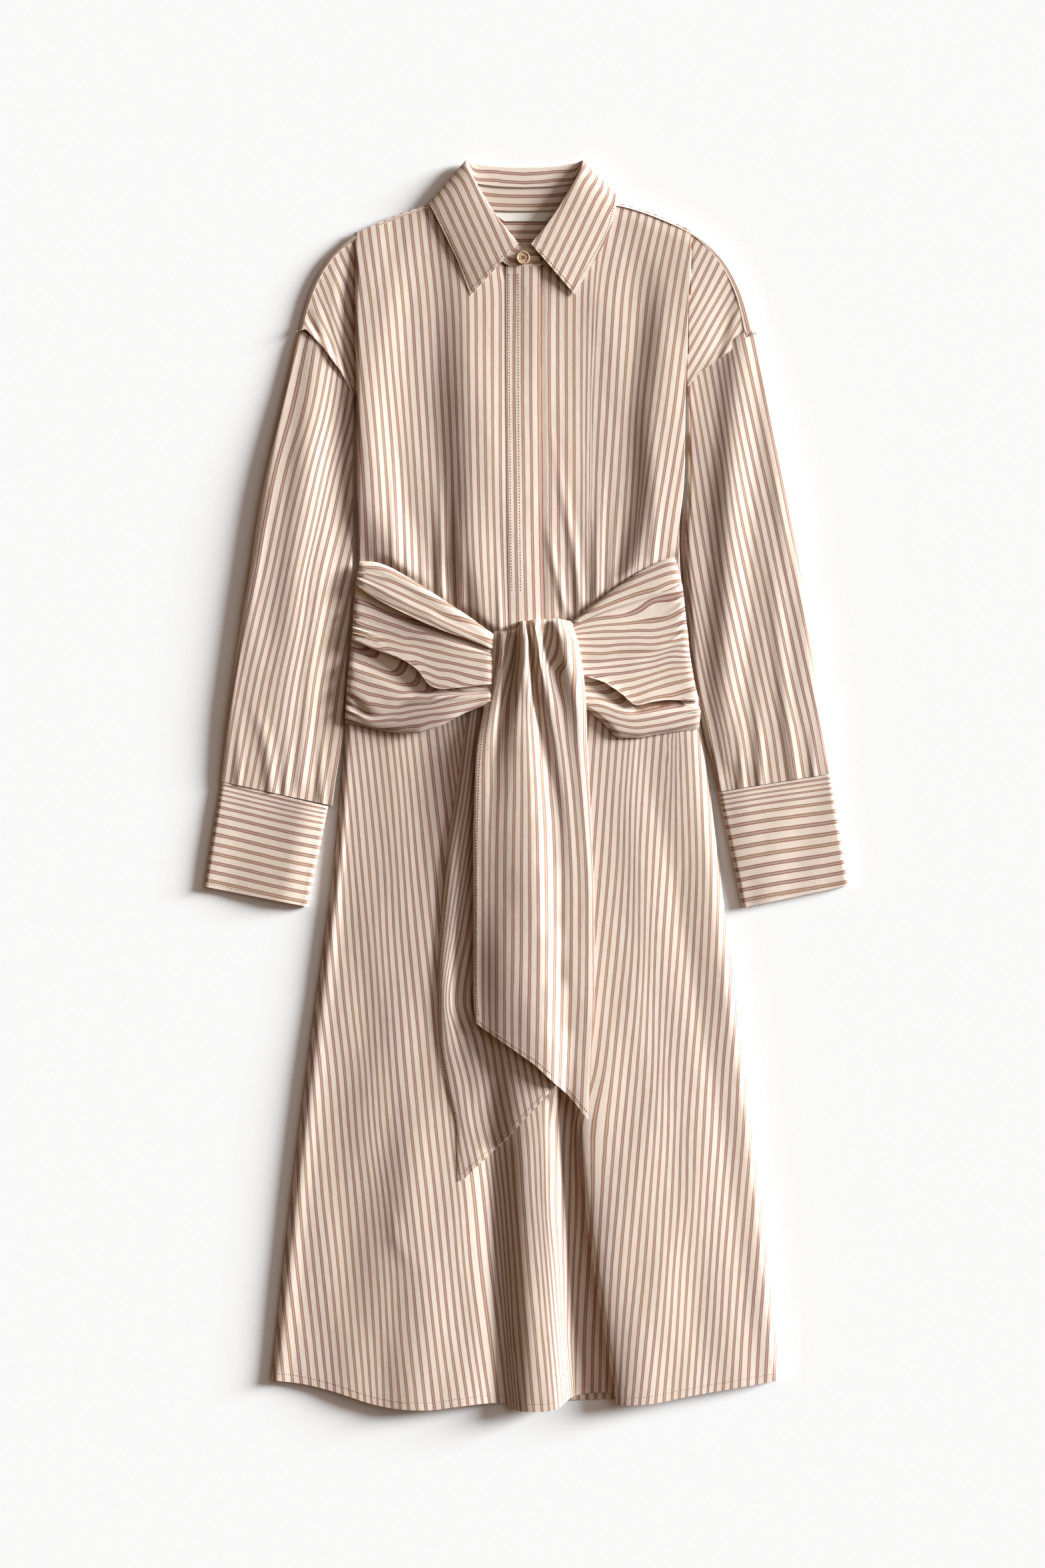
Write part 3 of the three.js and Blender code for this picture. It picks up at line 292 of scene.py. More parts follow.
# %% Guides of the sash's left half
SASH_LEFT = {
    "stations": [-180.3, -159.5, -142.1, -128.3, -114.4, -100.5, -86.7, -62.4, -38.1],
    "guides": [
        {"ends": [-173.3, -29.1], "y": [232.3, 231.6, 226, 218.4, 210.1, 201.1, 192, 176.1, 158.8],
         "z": [10.8, 11, 11.3, 11.3, 11.3, 11.3, 11.3, 11.5, 12],
         "u": [-0.8, -0.7, -0.6, -0.4, -0.2, 0.2, 0.6, 1.4, 2.2]},
        {"ends": [-174, -29.1], "y": [228.8, 228.1, 222.5, 214.9, 206.6, 197.6, 188.6, 172.6, 156],
         "z": [13.5] * 9,
         "u": [-0.4, -0.3, -0.1, 0, 0.2, 0.6, 1, 1.8, 2.5]},
        {"ends": [-175.4, -29.1], "y": [221.2, 215.6, 208.7, 201.1, 192, 183.7, 174.7, 161.5, 149.8],
         "z": [15] * 9, "u": [1.3, 1.1, 1.3, 1.5, 1.8, 2, 2.2, 2.6, 2.9]},
        {"ends": [-176.1, -29.1], "y": [214.2, 204.5, 194.8, 187.2, 179.6, 172.6, 165.7, 155.3, 145.6],
         "z": [16, 16.5, 17, 17, 17, 17, 16.5, 16, 15], "u": [3.2, 3.1, 3.1, 3.2, 3.3, 3.5, 3.5, 3.4, 3.2]},
        {"ends": [-176.8, -29.1], "y": [209.4, 194.8, 185.1, 178.2, 171.2, 165, 159.5, 151.1, 141.4],
         "z": [15, 16, 16.8, 17, 17, 16.8, 16.2, 15.5, 14.5], "u": [4.2, 4.2, 4.4, 4.7, 4.9, 5, 4.6, 4.1, 3.8]},
        {"ends": [-176.1, -29.1], "y": [212.1, 199.7, 190.7, 183.7, 176.8, 170.6, 165, 155.3, 144.2],
         "z": [12.8] * 9, "u": [4.8, 4.8, 5, 5.2, 5.4, 5.4, 5, 4.6, 4.3]},
        {"ends": [-176.8, -29.1], "y": [204.5, 191.4, 181.6, 174.7, 167.8, 161.5, 156, 147.7, 138],
         "z": [11.4] * 9,
         "u": [5.4, 5.5, 5.6, 5.8, 6, 6.2, 6.2, 6.3, 6.6]},
        {"ends": [-178.9, -29.1], "y": [192, 182.3, 174, 168.5, 162.2, 156.7, 151.8, 143.5, 133.8],
         "z": [13.6] * 9, "u": [6, 6.2, 6.3, 6.4, 6.5, 6.9, 7, 7.2, 8]},
        {"ends": [-180.3, -29.1], "y": [169.9, 162.2, 157.4, 152.5, 147.7, 142.1, 137.3, 131.7, 126.2],
         "z": [14.6] * 9, "u": [8, 8, 8, 8, 8.4, 8.7, 8.9, 8.9, 9]},
        {"ends": [-181, -29.1], "y": [157.4, 151.1, 142.1, 137.3, 129.6, 119.2, 114.4, 114.4, 115.8],
         "z": [15, 15.4, 15.8, 16, 16, 15.8, 15.5, 15.2, 14.8], "u": [9, 9, 9.9, 10.1, 10.7, 11.4, 11.5, 10.9, 10.2]},
        {"ends": [-181.6, -29.1], "y": [149.8, 140.7, 135.2, 129, 119.9, 103.3, 99.1, 101.2, 104],
         "z": [15, 16, 16.6, 16.8, 16.6, 16.2, 15.8, 15.2, 14.6],
         "u": [10, 10.2, 10.7, 11, 11.7, 13.6, 13.5, 12.4, 11.7]},
        {"ends": [-181.6, -29.1], "y": [152.5, 144.9, 140, 134.5, 126.2, 110.2, 104.7, 106.1, 108.2],
         "z": [12] * 9, "u": [10.4, 10.8, 11.3, 11.6, 12.4, 14, 14, 13, 12.3]},
        {"ends": [-182.3, -29.1], "y": [144.9, 129.6, 117.9, 110.2, 101.9, 97.1, 95, 95.7, 99.1],
         "z": [10.8] * 9,
         "u": [10.7, 11.3, 11.8, 12.4, 13.2, 14, 14.4, 14.1, 13.4]},
        {"ends": [-184.4, -29.1], "y": [122.7, 113, 104, 97.1, 92.9, 91.5, 91.5, 92.9, 94.3],
         "z": [13.4, 13.4, 13.4, 13.4, 13, 13, 13, 13, 13],
         "u": [12.7, 13, 13.4, 13.8, 14.6, 14.8, 15.4, 16.1, 16.2]},
        {"ends": [-187.2, -29.1], "y": [90.8, 77, 82.5, 87.4, 88, 88.7, 88.7, 89.4, 90.8],
         "z": [14, 15.6, 15.6, 15, 14.2, 13.6, 13.4, 13.4, 13.4],
         "u": [16.1, 16.6, 15.8, 15.2, 15.2, 15.2, 15.9, 16.5, 16.8]},
        {"ends": [-187.2, -29.1], "y": [86, 72.1, 75.6, 81.1, 83.2, 84.6, 85.3, 86.7, 88.7],
         "z": [12.6] * 9,
         "u": [16.6, 17, 16.6, 16, 16, 15.9, 16.4, 16.8, 17]},
        {"ends": [-187.9, -29.1], "y": [77, 65.9, 67.3, 70, 72.1, 74.2, 77, 82.5, 86.7],
         "z": [13.4] * 9,
         "u": [17.6, 18, 18, 17.6, 17.7, 17.7, 17.5, 17.3, 17.3]},
        {"ends": [-188.6, -33.3], "y": [66.6, 59.6, 57.5, 56.2, 56.2, 60.3, 65.2, 77.6, 86],
         "z": [11.6] * 9,
         "u": [18.8, 18.8, 19, 19.4, 19.5, 19.5, 19.2, 18, 17.6]},
        {"ends": [-188.6, -34.7], "y": [62.4, 57.5, 54.8, 53.4, 53.4, 57.5, 62.4, 74.9, 83.9],
         "z": [9.4] * 9,
         "u": [19.1, 19.2, 19.4, 19.8, 19.9, 19.9, 19.6, 18.4, 18]},
    ],
}

# %% Guides of the sash's right half
SASH_RIGHT = {
    "stations": [43.7, 62.4, 79.7, 97.1, 114.4, 131.7, 149.1, 166.4],
    "guides": [
        {"ends": [43, 153.9], "y": [165.7, 181.6, 194.8, 207.3, 219.1, 228.1, 235.7, 237.8],
         "z": [12, 11.3, 11.3, 11.3, 11.3, 11.3, 11, 10.8], "u": [3, 1.5, 0.8, 0.2, -0.3, -0.6, -0.8, -0.9]},
        {"ends": [41.6, 155.3], "y": [164.3, 179.6, 192, 203.8, 215.6, 224.6, 232.3, 233.6],
         "z": [13.5] * 8, "u": [3.1, 1.9, 1.2, 0.6, 0, -0.2, -0.4, -0.5]},
        {"ends": [38.8, 158.1], "y": [163.6, 176.8, 186.5, 194.8, 203.1, 212.1, 219.8, 223.2],
         "z": [15.2] * 8, "u": [3.2, 2.2, 1.8, 1.7, 1.5, 1.2, 1, 0.9]},
        {"ends": [38.8, 161.5], "y": [162.2, 170.6, 178.2, 184.4, 190, 196.2, 202.4, 209.4],
         "z": [14.5, 15.4, 16, 16.3, 16.5, 16.5, 16, 15], "u": [3.5, 2.9, 2.9, 2.8, 2.8, 2.7, 2.9, 2.7]},
        {"ends": [38.8, 161.5], "y": [163.6, 174, 182.3, 188.6, 194.1, 200.4, 206.6, 212.1],
         "z": [12.6] * 8, "u": [3.8, 3.3, 3.3, 3.2, 3.2, 3.2, 3.3, 3.2]},
        {"ends": [38.8, 162.9], "y": [160.2, 167.8, 172.6, 176.8, 179.6, 183.7, 192, 203.1],
         "z": [11.8] * 8, "u": [4.5, 4.2, 4, 3.8, 4, 4.4, 4.1, 3.8]},
        {"ends": [38.8, 164.3], "y": [153.9, 156.7, 159.5, 162.9, 165.7, 169.9, 176.8, 188.6],
         "z": [13.8] * 8, "u": [6.4, 6.1, 5.9, 5.5, 5.3, 5, 4.8, 4.7]},
        {"ends": [38.8, 167.1], "y": [134.5, 133.8, 135.2, 138.7, 140.7, 142.1, 149.1, 161.5],
         "z": [14.8] * 8, "u": [9.3, 9.3, 9.1, 8.9, 8.7, 8.5, 7.9, 6.7]},
        {"ends": [38.8, 167.8], "y": [128.3, 126.9, 128.3, 133.1, 135.9, 138, 144.9, 156.7],
         "z": [13.3] * 8, "u": [10.1, 10.1, 10, 9.6, 9.3, 9.1, 8.5, 7.3]},
        {"ends": [38.8, 169.2], "y": [120.6, 117.9, 117.2, 117.9, 122.7, 126.9, 133.8, 140],
         "z": [14.8] * 8, "u": [11, 11.3, 11.6, 11.7, 11.4, 11.2, 10.8, 9.6]},
        {"ends": [38.8, 174], "y": [117.2, 114.4, 109.5, 103.3, 98.4, 101.9, 105.4, 108.8],
         "z": [15.3] * 8, "u": [11.5, 11.8, 12.4, 13.4, 14.4, 14.7, 14.9, 15]},
        {"ends": [38.8, 178.9], "y": [115.1, 111.6, 106.1, 95, 82.5, 86, 88, 87.4],
         "z": [15, 15.6, 16, 16.4, 16.2, 16, 15.6, 15], "u": [12, 12.1, 12.8, 14.4, 16.6, 16.7, 16.6, 17]},
        {"ends": [38.8, 178.2], "y": [119.2, 116.5, 111.6, 101.2, 88.7, 91.5, 92.9, 92.2],
         "z": [11.6] * 8, "u": [12.6, 12.7, 13.4, 15, 17.2, 17.3, 17.2, 17.5]},
        {"ends": [38.8, 179.6], "y": [110.2, 104.7, 95.7, 85.3, 77, 80.4, 82.5, 81.8],
         "z": [10.6] * 8, "u": [13.4, 14, 15, 16.1, 16.8, 16.8, 16.9, 17.2]},
        {"ends": [38.8, 181], "y": [98.4, 90.1, 81.8, 74.9, 70.7, 72.1, 73.5, 74.9],
         "z": [13.5] * 8, "u": [15, 16, 16.9, 17, 17.4, 17.6, 17.9, 18.2]},
        {"ends": [38.8, 180.3], "y": [92.9, 82.5, 70.7, 60.3, 58.9, 61, 63.1, 65.2],
         "z": [13.4] * 8, "u": [16, 17.1, 18.4, 19.2, 19, 19, 19.1, 19.4]},
        {"ends": [38.8, 179.6], "y": [90.8, 80.4, 66.6, 51.3, 50.6, 53.4, 56.2, 58.9],
         "z": [11.5] * 8, "u": [16.4, 17.4, 19, 20.4, 20.2, 20.1, 20.1, 20.3]},
        {"ends": [38.8, 179.6], "y": [89.4, 78.3, 63.8, 48.5, 48.5, 51.3, 54.1, 56.2],
         "z": [9.4] * 8, "u": [16.6, 17.8, 19.4, 20.8, 20.6, 20.5, 20.5, 20.7]},
    ],
}

# %% Guides of the front tail
TIE_FRONT = {
    "stations": [160.8, 150.4, 133.1, 115.8, 81.1, 39.5, -15.9, -119.9, -210.1, -293.3],
    "guides": [
        {"ends": [153.9, -246.8], "x": [-34, -34.7, -36.1, -38.1, -44.4, -51.3, -54.1, -55.5, -55.5, -45.8],
         "z": [13, 14, 15, 15, 14.4, 14, 13.7, 13.3, 13.2, 13.2],
         "u": [0.3, 0.3, 0.2, 0.2, 0.1, 0, 0, -0.2, -0.2, 0.9]},
        {"ends": [154.6, -250.3], "x": [-30.5, -31.2, -32.6, -34.7, -40.9, -47.8, -50.6, -52, -52, -41.6],
         "z": [15.5, 16, 16.8, 16.8, 15.9, 14.9, 14.4, 14, 13.9, 13.8],
         "u": [0.8, 0.8, 0.7, 0.7, 0.6, 0.5, 0.4, 0.2, 0.2, 1.3]},
        {"ends": [155.3, -255.1], "x": [-22.9, -23.6, -25, -27.7, -32.6, -39.5, -43.7, -45.1, -45.1, -36.1],
         "z": [17, 20, 21, 20.5, 17.8, 15.6, 14.7, 14.1, 13.9, 13.8],
         "u": [1.5, 1.6, 1.7, 1.9, 2, 1.6, 1.1, 1, 1, 2]},
        {"ends": [157.4, -262.1], "x": [-10.4, -11.8, -13.9, -16.6, -22.9, -31.2, -34.7, -36.1, -36.1, -27],
         "z": [14, 13.5, 13, 12.8, 13.3, 13.9, 14, 14, 13.8, 13.7],
         "u": [2.7, 2.9, 3.1, 3.3, 3.6, 2.7, 2.3, 2.4, 2.4, 3.4]},
        {"ends": [160.8, -268.3], "x": [-8.3, -8.3, -9.7, -11.8, -17.3, -22.9, -26.3, -27.7, -27.7, -18.7],
         "z": [20, 22, 22, 21, 17.8, 15.6, 14.7, 14.2, 13.9, 13.8],
         "u": [4.6, 4.7, 4.6, 4.6, 4.2, 3.8, 3.4, 3.4, 3.4, 4.5]},
        {"ends": [165.7, -279.4], "x": [-3.5, -2.8, -2.8, -4.2, -7.6, -10.4, -11.8, -13.2, -13.2, -4.2],
         "z": [25, 28, 28, 27, 21.6, 17.6, 15.7, 14.5, 14.1, 13.9],
         "u": [5.6, 5.8, 5.9, 6, 5.4, 5.2, 5.1, 5.1, 5.2, 6.3]},
        {"ends": [165, -291.9], "x": [-0.7, 0.7, 1.4, 2.1, 4.2, 9, 15.3, 17.3, 15.3, 11.1],
         "z": [24, 27, 26.5, 25.5, 21.2, 17.6, 15.9, 14.7, 14.2, 14],
         "u": [6.3, 6.6, 6.8, 7, 7.9, 8.3, 8.7, 8.6, 8.4, 8.1]},
        {"ends": [163.6, -301.6], "x": [1.4, 3.5, 4.9, 6.9, 11.1, 17.3, 29.8, 34.7, 30.5, 22.2],
         "z": [17, 16.5, 16, 15.5, 14.8, 14.7, 14.4, 14.2, 14.1, 13.9],
         "u": [6.8, 7.1, 7.5, 8.4, 8.7, 9.3, 10.5, 10.6, 10.2, 9.4]},
        {"ends": [167.1, -310.6], "x": [9, 11.1, 13.2, 15.9, 22.9, 31.2, 40.2, 46.5, 43, 33.3],
         "z": [25, 27, 27, 26, 21.6, 17.9, 15.9, 14.7, 14.3, 14],
         "u": [8.2, 8.7, 9.2, 9.9, 11, 11.3, 11.8, 12, 11.7, 10.8]},
        {"ends": [167.1, -318.9], "x": [18.7, 20.1, 22.2, 26.3, 36.1, 43, 48.5, 54.1, 52, 43],
         "z": [19, 18, 20, 22, 19.9, 17.2, 15.5, 14.5, 14.2, 13.9],
         "u": [9.6, 10.2, 11.2, 12.5, 12.7, 13, 12.9, 12.9, 12.7, 12]},
        {"ends": [167.8, -328.6], "x": [33.3, 36.7, 40.2, 45.1, 51.3, 54.1, 57.5, 62.4, 61, 52.7],
         "z": [25, 27.5, 27.5, 26.5, 22.5, 18.2, 16.1, 14.7, 14.3, 14],
         "u": [12.2, 12.6, 13, 13.6, 14.2, 14.3, 14.1, 14, 13.9, 13.3]},
        {"ends": [165.7, -339], "x": [45.1, 49.9, 52.7, 56.2, 58.9, 60.3, 63.1, 67.3, 67.3, 61],
         "z": [19, 22, 22, 21, 18.7, 16.3, 15.1, 14.2, 13.9, 13.7],
         "u": [14.3, 14.4, 14.5, 14.7, 14.9, 15, 14.8, 14.6, 14.6, 14.3]},
        {"ends": [163.6, -346.7], "x": [49.2, 52.7, 56.2, 58.9, 61.7, 63.1, 65.9, 70, 70.7, 66.6],
         "z": [14, 15, 15.4, 15.2, 14.4, 13.7, 13.6, 13.3, 13.2, 13.2],
         "u": [15.3, 15.3, 15.3, 15.4, 15.4, 15.4, 15.4, 15.4, 15.3, 15]},
        {"ends": [161.5, -342.5], "x": [45.1, 48.5, 52, 54.8, 57.5, 58.9, 61.7, 65.9, 66.6, 63.8],
         "z": [11.6, 11.8, 11.8, 11.8, 11.6, 11.4, 11.2, 11, 11, 11.2],
         "u": [16, 16, 16, 16, 16, 16, 16, 16, 16, 15.6]},
    ],
}

# %% Guides of the back tail
TIE_BACK = {
    "stations": [77.6, 18.7, -60.3, -154.6, -219.1, -266.9, -314.8, -355.7, -390.3],
    "guides": [
        {"ends": [79.7, -412.5], "x": [-62.4, -70, -82.5, -90.8, -92.9, -91.5, -83.9, -74.9, -74.9],
         "z": [9.5, 9.8, 9.8, 9.8, 9.8, 9.8, 9.8, 9.6, 9.4]},
        {"ends": [79.7, -411.8], "x": [-59.6, -67.3, -79.7, -88, -90.1, -88.7, -81.8, -72.8, -72.1],
         "z": [13, 13.6, 13.4, 13, 12.6, 12, 11.6, 11.2, 10.8]},
        {"ends": [80.4, -410.4], "x": [-55.5, -62.4, -72.8, -81.8, -86, -84.6, -76.3, -67.3, -66.6],
         "z": [14.5, 15, 14.8, 14, 13.4, 12.6, 12, 11.6, 11]},
        {"ends": [81.1, -404.2], "x": [-51.3, -55.5, -61, -74.9, -80.4, -76.3, -67.9, -58.9, -59.6],
         "z": [12.5, 13, 13, 13, 12.8, 12.2, 11.8, 11.6, 11]},
        {"ends": [81.1, -402.1], "x": [-48.5, -52, -57.5, -70.7, -76.3, -70.7, -62.4, -54.1, -56.9],
         "z": [10.4, 10.4, 10.4, 10.6, 10.8, 11, 11, 11, 10.8]},
        {"ends": [81.1, -388.9], "x": [-41.6, -43, -45.8, -54.1, -56.9, -54.1, -47.1, -40.2, -43.7],
         "z": [10.6, 10.8, 10.8, 11, 11.2, 11.3, 11.2, 11.2, 10.8]},
        {"ends": [81.1, -367.4], "x": [-31.2, -30.5, -30.5, -33.3, -33.3, -29.1, -23.6, -20.8, -23.6],
         "z": [10.8] * 9},
        {"ends": [81.1, -348.7], "x": [-20.8, -18, -15.3, -12.5, -10.4, -6.9, -3.5, -4.2, -4.2],
         "z": [10.8] * 9},
        {"ends": [81.1, -331.4], "x": [-10.4, -5.5, 0, 4.9, 8.3, 11.1, 12.5, 12.5, 12.5],
         "z": [10.8] * 9},
        {"ends": [81.1, -311.3], "x": [-1.4, 4.2, 11.1, 17.3, 22.2, 26.3, 30.5, 31.9, 31.9],
         "z": [10.4] * 9},
    ],
}


# %% [markdown]
# ## Skirt: guide lines
# The skirt flares in uneven folds. One high roll leaves the knot and another lies over on its side to
# the right of it. Guides run from the waist to the hem and hold the place and the height of each crest,
# trough and lip.

# %% Guides of the skirt
SKIRT = {
    "stations": [157.4, 46.5, -85.3, -258.6, -431.9, -629.5],
    "guides": [
        {"ends": [157.4, -629.5], "x": [-181, -190, -200.4, -223.2, -244.7, -266.2],
         "z": [2.4] * 6},
        {"ends": [157.4, -629.5], "x": [-179.6, -188.6, -199, -221.9, -243.3, -264.8],
         "z": [5.6] * 6},
        {"ends": [157.4, -629.5], "x": [-175.4, -183.7, -193.4, -214.9, -236.4, -257.9],
         "z": [7.5, 7.5, 8, 8.4, 8.4, 8]},
        {"ends": [157.4, -629.5], "x": [-162.9, -176.8, -188.6, -202.4, -224.6, -242.7],
         "z": [7.5, 7.5, 7, 7, 7, 6.6]},
        {"ends": [157.4, -629.5], "x": [-152.5, -159.5, -164.3, -176.8, -190, -209.4],
         "z": [7.5, 7.5, 7.5, 7.8, 8.2, 7.6]},
        {"ends": [157.4, -629.5], "x": [-138.7, -138.7, -142.1, -153.9, -151.1, -155.3],
         "z": [7.5, 7.7, 8, 9.8, 11.2, 11]},
        {"ends": [157.4, -629.5], "x": [-117.9, -116.5, -116.5, -119.2, -112.3, -106.8],
         "z": [7.5, 8, 8.6, 11.4, 14, 14]},
        {"ends": [157.4, -629.5], "x": [-98.4, -97.1, -97.1, -97.1, -70.7, -65.2],
         "z": [7.5, 8.6, 9.4, 11.4, 13.2, 13]},
        {"ends": [157.4, -629.5], "x": [-69.3, -65.9, -62.4, -56.9, -47.1, -40.2],
         "z": [7.5, 9.5, 9.8, 9.2, 10.2, 9.6]},
        {"ends": [157.4, -629.5], "x": [-58.2, -51.3, -44.4, -36.1, -29.1, -22.9],
         "z": [7.5, 9.2, 8.6, 6.6, 5, 4.4]},
        {"ends": [157.4, -629.5], "x": [-51.3, -44.4, -35.4, -27.7, -20.8, -16.6],
         "z": [7.5, 7.6, 7.4, 7.6, 8, 8]},
        {"ends": [157.4, -629.5], "x": [-43.7, -36.7, -27.7, -18.7, -11.8, -8.3],
         "z": [7.5, 8.4, 10, 12.6, 14.8, 15.4]},
        {"ends": [157.4, -629.5], "x": [-33.3, -25, -12.5, -2.1, 5.5, 9.7],
         "z": [7.5, 9, 11.8, 15.6, 19, 20]},
        {"ends": [157.4, -629.5], "x": [-22.9, -10.4, 3.5, 15.3, 25, 31.9],
         "z": [7.5, 8.8, 11.5, 15, 18.5, 19]},
        {"ends": [157.4, -629.5], "x": [-15.9, -2.1, 12.5, 26.3, 37.4, 43],
         "z": [7.5, 7.6, 7.8, 8, 8.4, 8.4]},
        {"ends": [157.4, -629.5], "x": [-10.4, 5.5, 19.4, 33.3, 45.8, 51.3],
         "z": [7.5, 7.2, 5.2, 3.4, 2.6, 2.4]},
        {"ends": [157.4, -629.5], "x": [0, 15.3, 29.1, 45.1, 61, 76.3],
         "z": [7.5, 7, 5.6, 4.2, 2.8, 2.4]},
        {"ends": [157.4, -629.5], "x": [4.2, 18.7, 34, 49.2, 66.6, 97.1],
         "z": [7.5, 7.2, 6.2, 6, 6, 4.6]},
        {"ends": [157.4, -629.5], "x": [4.9, 17.3, 31.9, 45.8, 61.7, 93.6],
         "z": [7.6, 8.2, 9.8, 12, 14, 12.4]},
        {"ends": [157.4, -629.5], "x": [8.3, 20.8, 36.1, 50.6, 67.9, 99.1],
         "z": [7.6, 9, 12, 15, 16.8, 15.6]},
        {"ends": [157.4, -629.5], "x": [17.3, 31.2, 52.7, 72.8, 95.7, 122],
         "z": [7.5, 9, 12.4, 15.6, 18, 17]},
        {"ends": [157.4, -629.5], "x": [41.6, 55.5, 79.7, 107.5, 135.2, 159.5],
         "z": [7.5, 8.6, 11.6, 14, 16.4, 15.4]},
        {"ends": [157.4, -629.5], "x": [76.3, 86.7, 110.9, 138.7, 166.4, 188.6],
         "z": [7.5, 9, 11.6, 13, 14.4, 13]},
        {"ends": [157.4, -629.5], "x": [97.1, 107.5, 138.7, 170.6, 201.1, 223.2],
         "z": [7.5, 8.6, 10.2, 11.4, 12, 11]},
        {"ends": [157.4, -629.5], "x": [110.9, 119.2, 151.1, 184.4, 214.9, 237.1],
         "z": [7.3, 8.2, 9.2, 10, 10.4, 10]},
        {"ends": [157.4, -629.5], "x": [135.2, 152.5, 180.3, 209.4, 234.3, 255.1],
         "z": [7.8, 8.8, 9.6, 10, 10, 9.4]},
        {"ends": [157.4, -629.5], "x": [159.5, 176.1, 192.7, 217, 238.5, 260.7],
         "z": [7.2, 8.2, 8.8, 8.8, 8.6, 8]},
        {"ends": [157.4, -629.5], "x": [166.4, 183, 199, 220.5, 241.3, 263.5],
         "z": [4.2] * 6},
        {"ends": [157.4, -629.5], "x": [167.8, 184.4, 200.4, 221.9, 242.7, 264.8],
         "z": [2.4] * 6},
    ],
}


# %% [markdown]
# ## Where the stripes run
# For each panel these are some of its stripes, numbered from the left, at several heights.

# %% Stripes of the bodice and the placket
BODICE_LEFT_STRIPES = {
    "levels": [566.4, 504, 427.8, 330.7, 233.6, 164.3],
    "lines": {
        0: [-189.3, -180.3, -171.2, -161.5, -156.7, -155.3],
        2: [-171.2, -162.2, -154.3, -146.5, -141.3, -140],
        4: [-153.6, -146, -138.9, -130.1, -126, -124.1],
        6: [-136, -128.8, -123.5, -116.6, -111.4, -109.5],
        8: [-118.3, -111.3, -106.4, -100.3, -95.6, -93.6],
        10: [-100.7, -93.9, -89.9, -84.7, -83.7, -80.4],
        12: [-83.9, -77.4, -74.1, -70.5, -67.1, -65.9],
        14: [-67.9, -61.3, -60.5, -58.4, -55, -49.9],
        16: [-52, -44, -43.6, -42.3, -39.6, -36.7],
        18: [-34, -27.2, -27.4, -27.3, -25.3, -22.9],
    },
}
BODICE_RIGHT_STRIPES = {
    "levels": [587.2, 524.8, 455.5, 386.2, 330.7, 275.2, 205.9, 164.3],
    "lines": {
        0: [6.9, 5.5, 5.2, 5.2, 5.5, 6, 7.6, 9],
        2: [29.8, 24.3, 23.6, 23.9, 25, 25, 26.6, 27.7],
        4: [47.1, 41.6, 41.3, 41.6, 41.4, 41.6, 42.3, 43.7],
        6: [65.2, 58.9, 57.5, 57.4, 57.8, 57.5, 57.3, 57.5],
        8: [78.3, 71.4, 68.6, 66.9, 65.9, 65.9, 66.6, 67.9],
        9: [86.9, 75.6, 71, 68.2, 67, 66.6, 67.9, 69.3],
        10: [97.1, 84.4, 79.2, 75.4, 72.6, 71.4, 71.4, 72.1],
        12: [115.2, 102, 96.2, 92, 88.1, 84.2, 81.9, 80.4],
        14: [132.8, 119.7, 113.5, 107.9, 105.1, 101.4, 96.4, 93.6],
        16: [149.8, 137.1, 128.1, 120.6, 117.9, 114, 108.8, 106.1],
        18: [166.4, 154.7, 144.6, 135.3, 126.7, 119.3, 113.7, 111.6],
        20: [184.4, 171.9, 161.6, 152.6, 144.1, 135.1, 127.6, 124.8],
        22: [201.1, 188.6, 178.2, 169.9, 160.8, 151.8, 144.2, 141.4],
    },
}
PLACKET_STRIPES = {
    "levels": [538.7, 427.8, 330.7, 233.6, 157.4],
    "lines": {
        0: [-20.8, -21, -20.5, -18.9, -17.3],
        1: [-12.3, -13.2, -12, -10.7, -9],
        2: [-4.2, -4.2, -3, -1.7, 0.3],
        3: [4.5, 4.2, 5.2, 6.5, 8.7],
        4: [13.2, 12.8, 13.5, 14.9, 17],
    },
}

# %% Stripes of the sleeves
SLEEVE_LEFT_STRIPES = {
    "levels": [455.5, 386.2, 330.7, 275.2, 219.8, 164.3, 108.8, 53.4, 4.9],
    "lines": {
        1: [-248.2, -266.9, -280.8, -290.5, -298.8, -308.5, -318.2, -325.2, -329.7],
        2: [-239.7, -257.7, -271.4, -282.2, -289.8, -299.8, -310, -318.2, -323.1],
        4: [-220.5, -232.1, -248.9, -260.8, -272.5, -286, -297.8, -308, -314.9],
        6: [-203.1, -216.3, -231.5, -245.5, -256.5, -268.7, -282.1, -292.4, -300.8],
        8: [-192.7, -203.1, -217, -229.4, -242, -252.7, -265.7, -275.9, -285.6],
        9: [-186.5, -196.2, -210.1, -221.9, -234.3, -245.5, -257.7, -267.5, -277.5],
        11: [-174, -183, -197.8, -210.6, -223.2, -231.6, -242.7, -251.9, -260.9],
        13: [-158.8, -167.8, -182.5, -193.2, -206.6, -218.2, -228.2, -235.6, -243.5],
        15: [-142.1, -151.1, -165, -176.1, -188.6, -201.5, -212.4, -219.9, -226.7],
        17: [-126.2, -134.5, -148.4, -159.5, -171.2, -183.7, -194.8, -202.4, -210.1],
    },
}
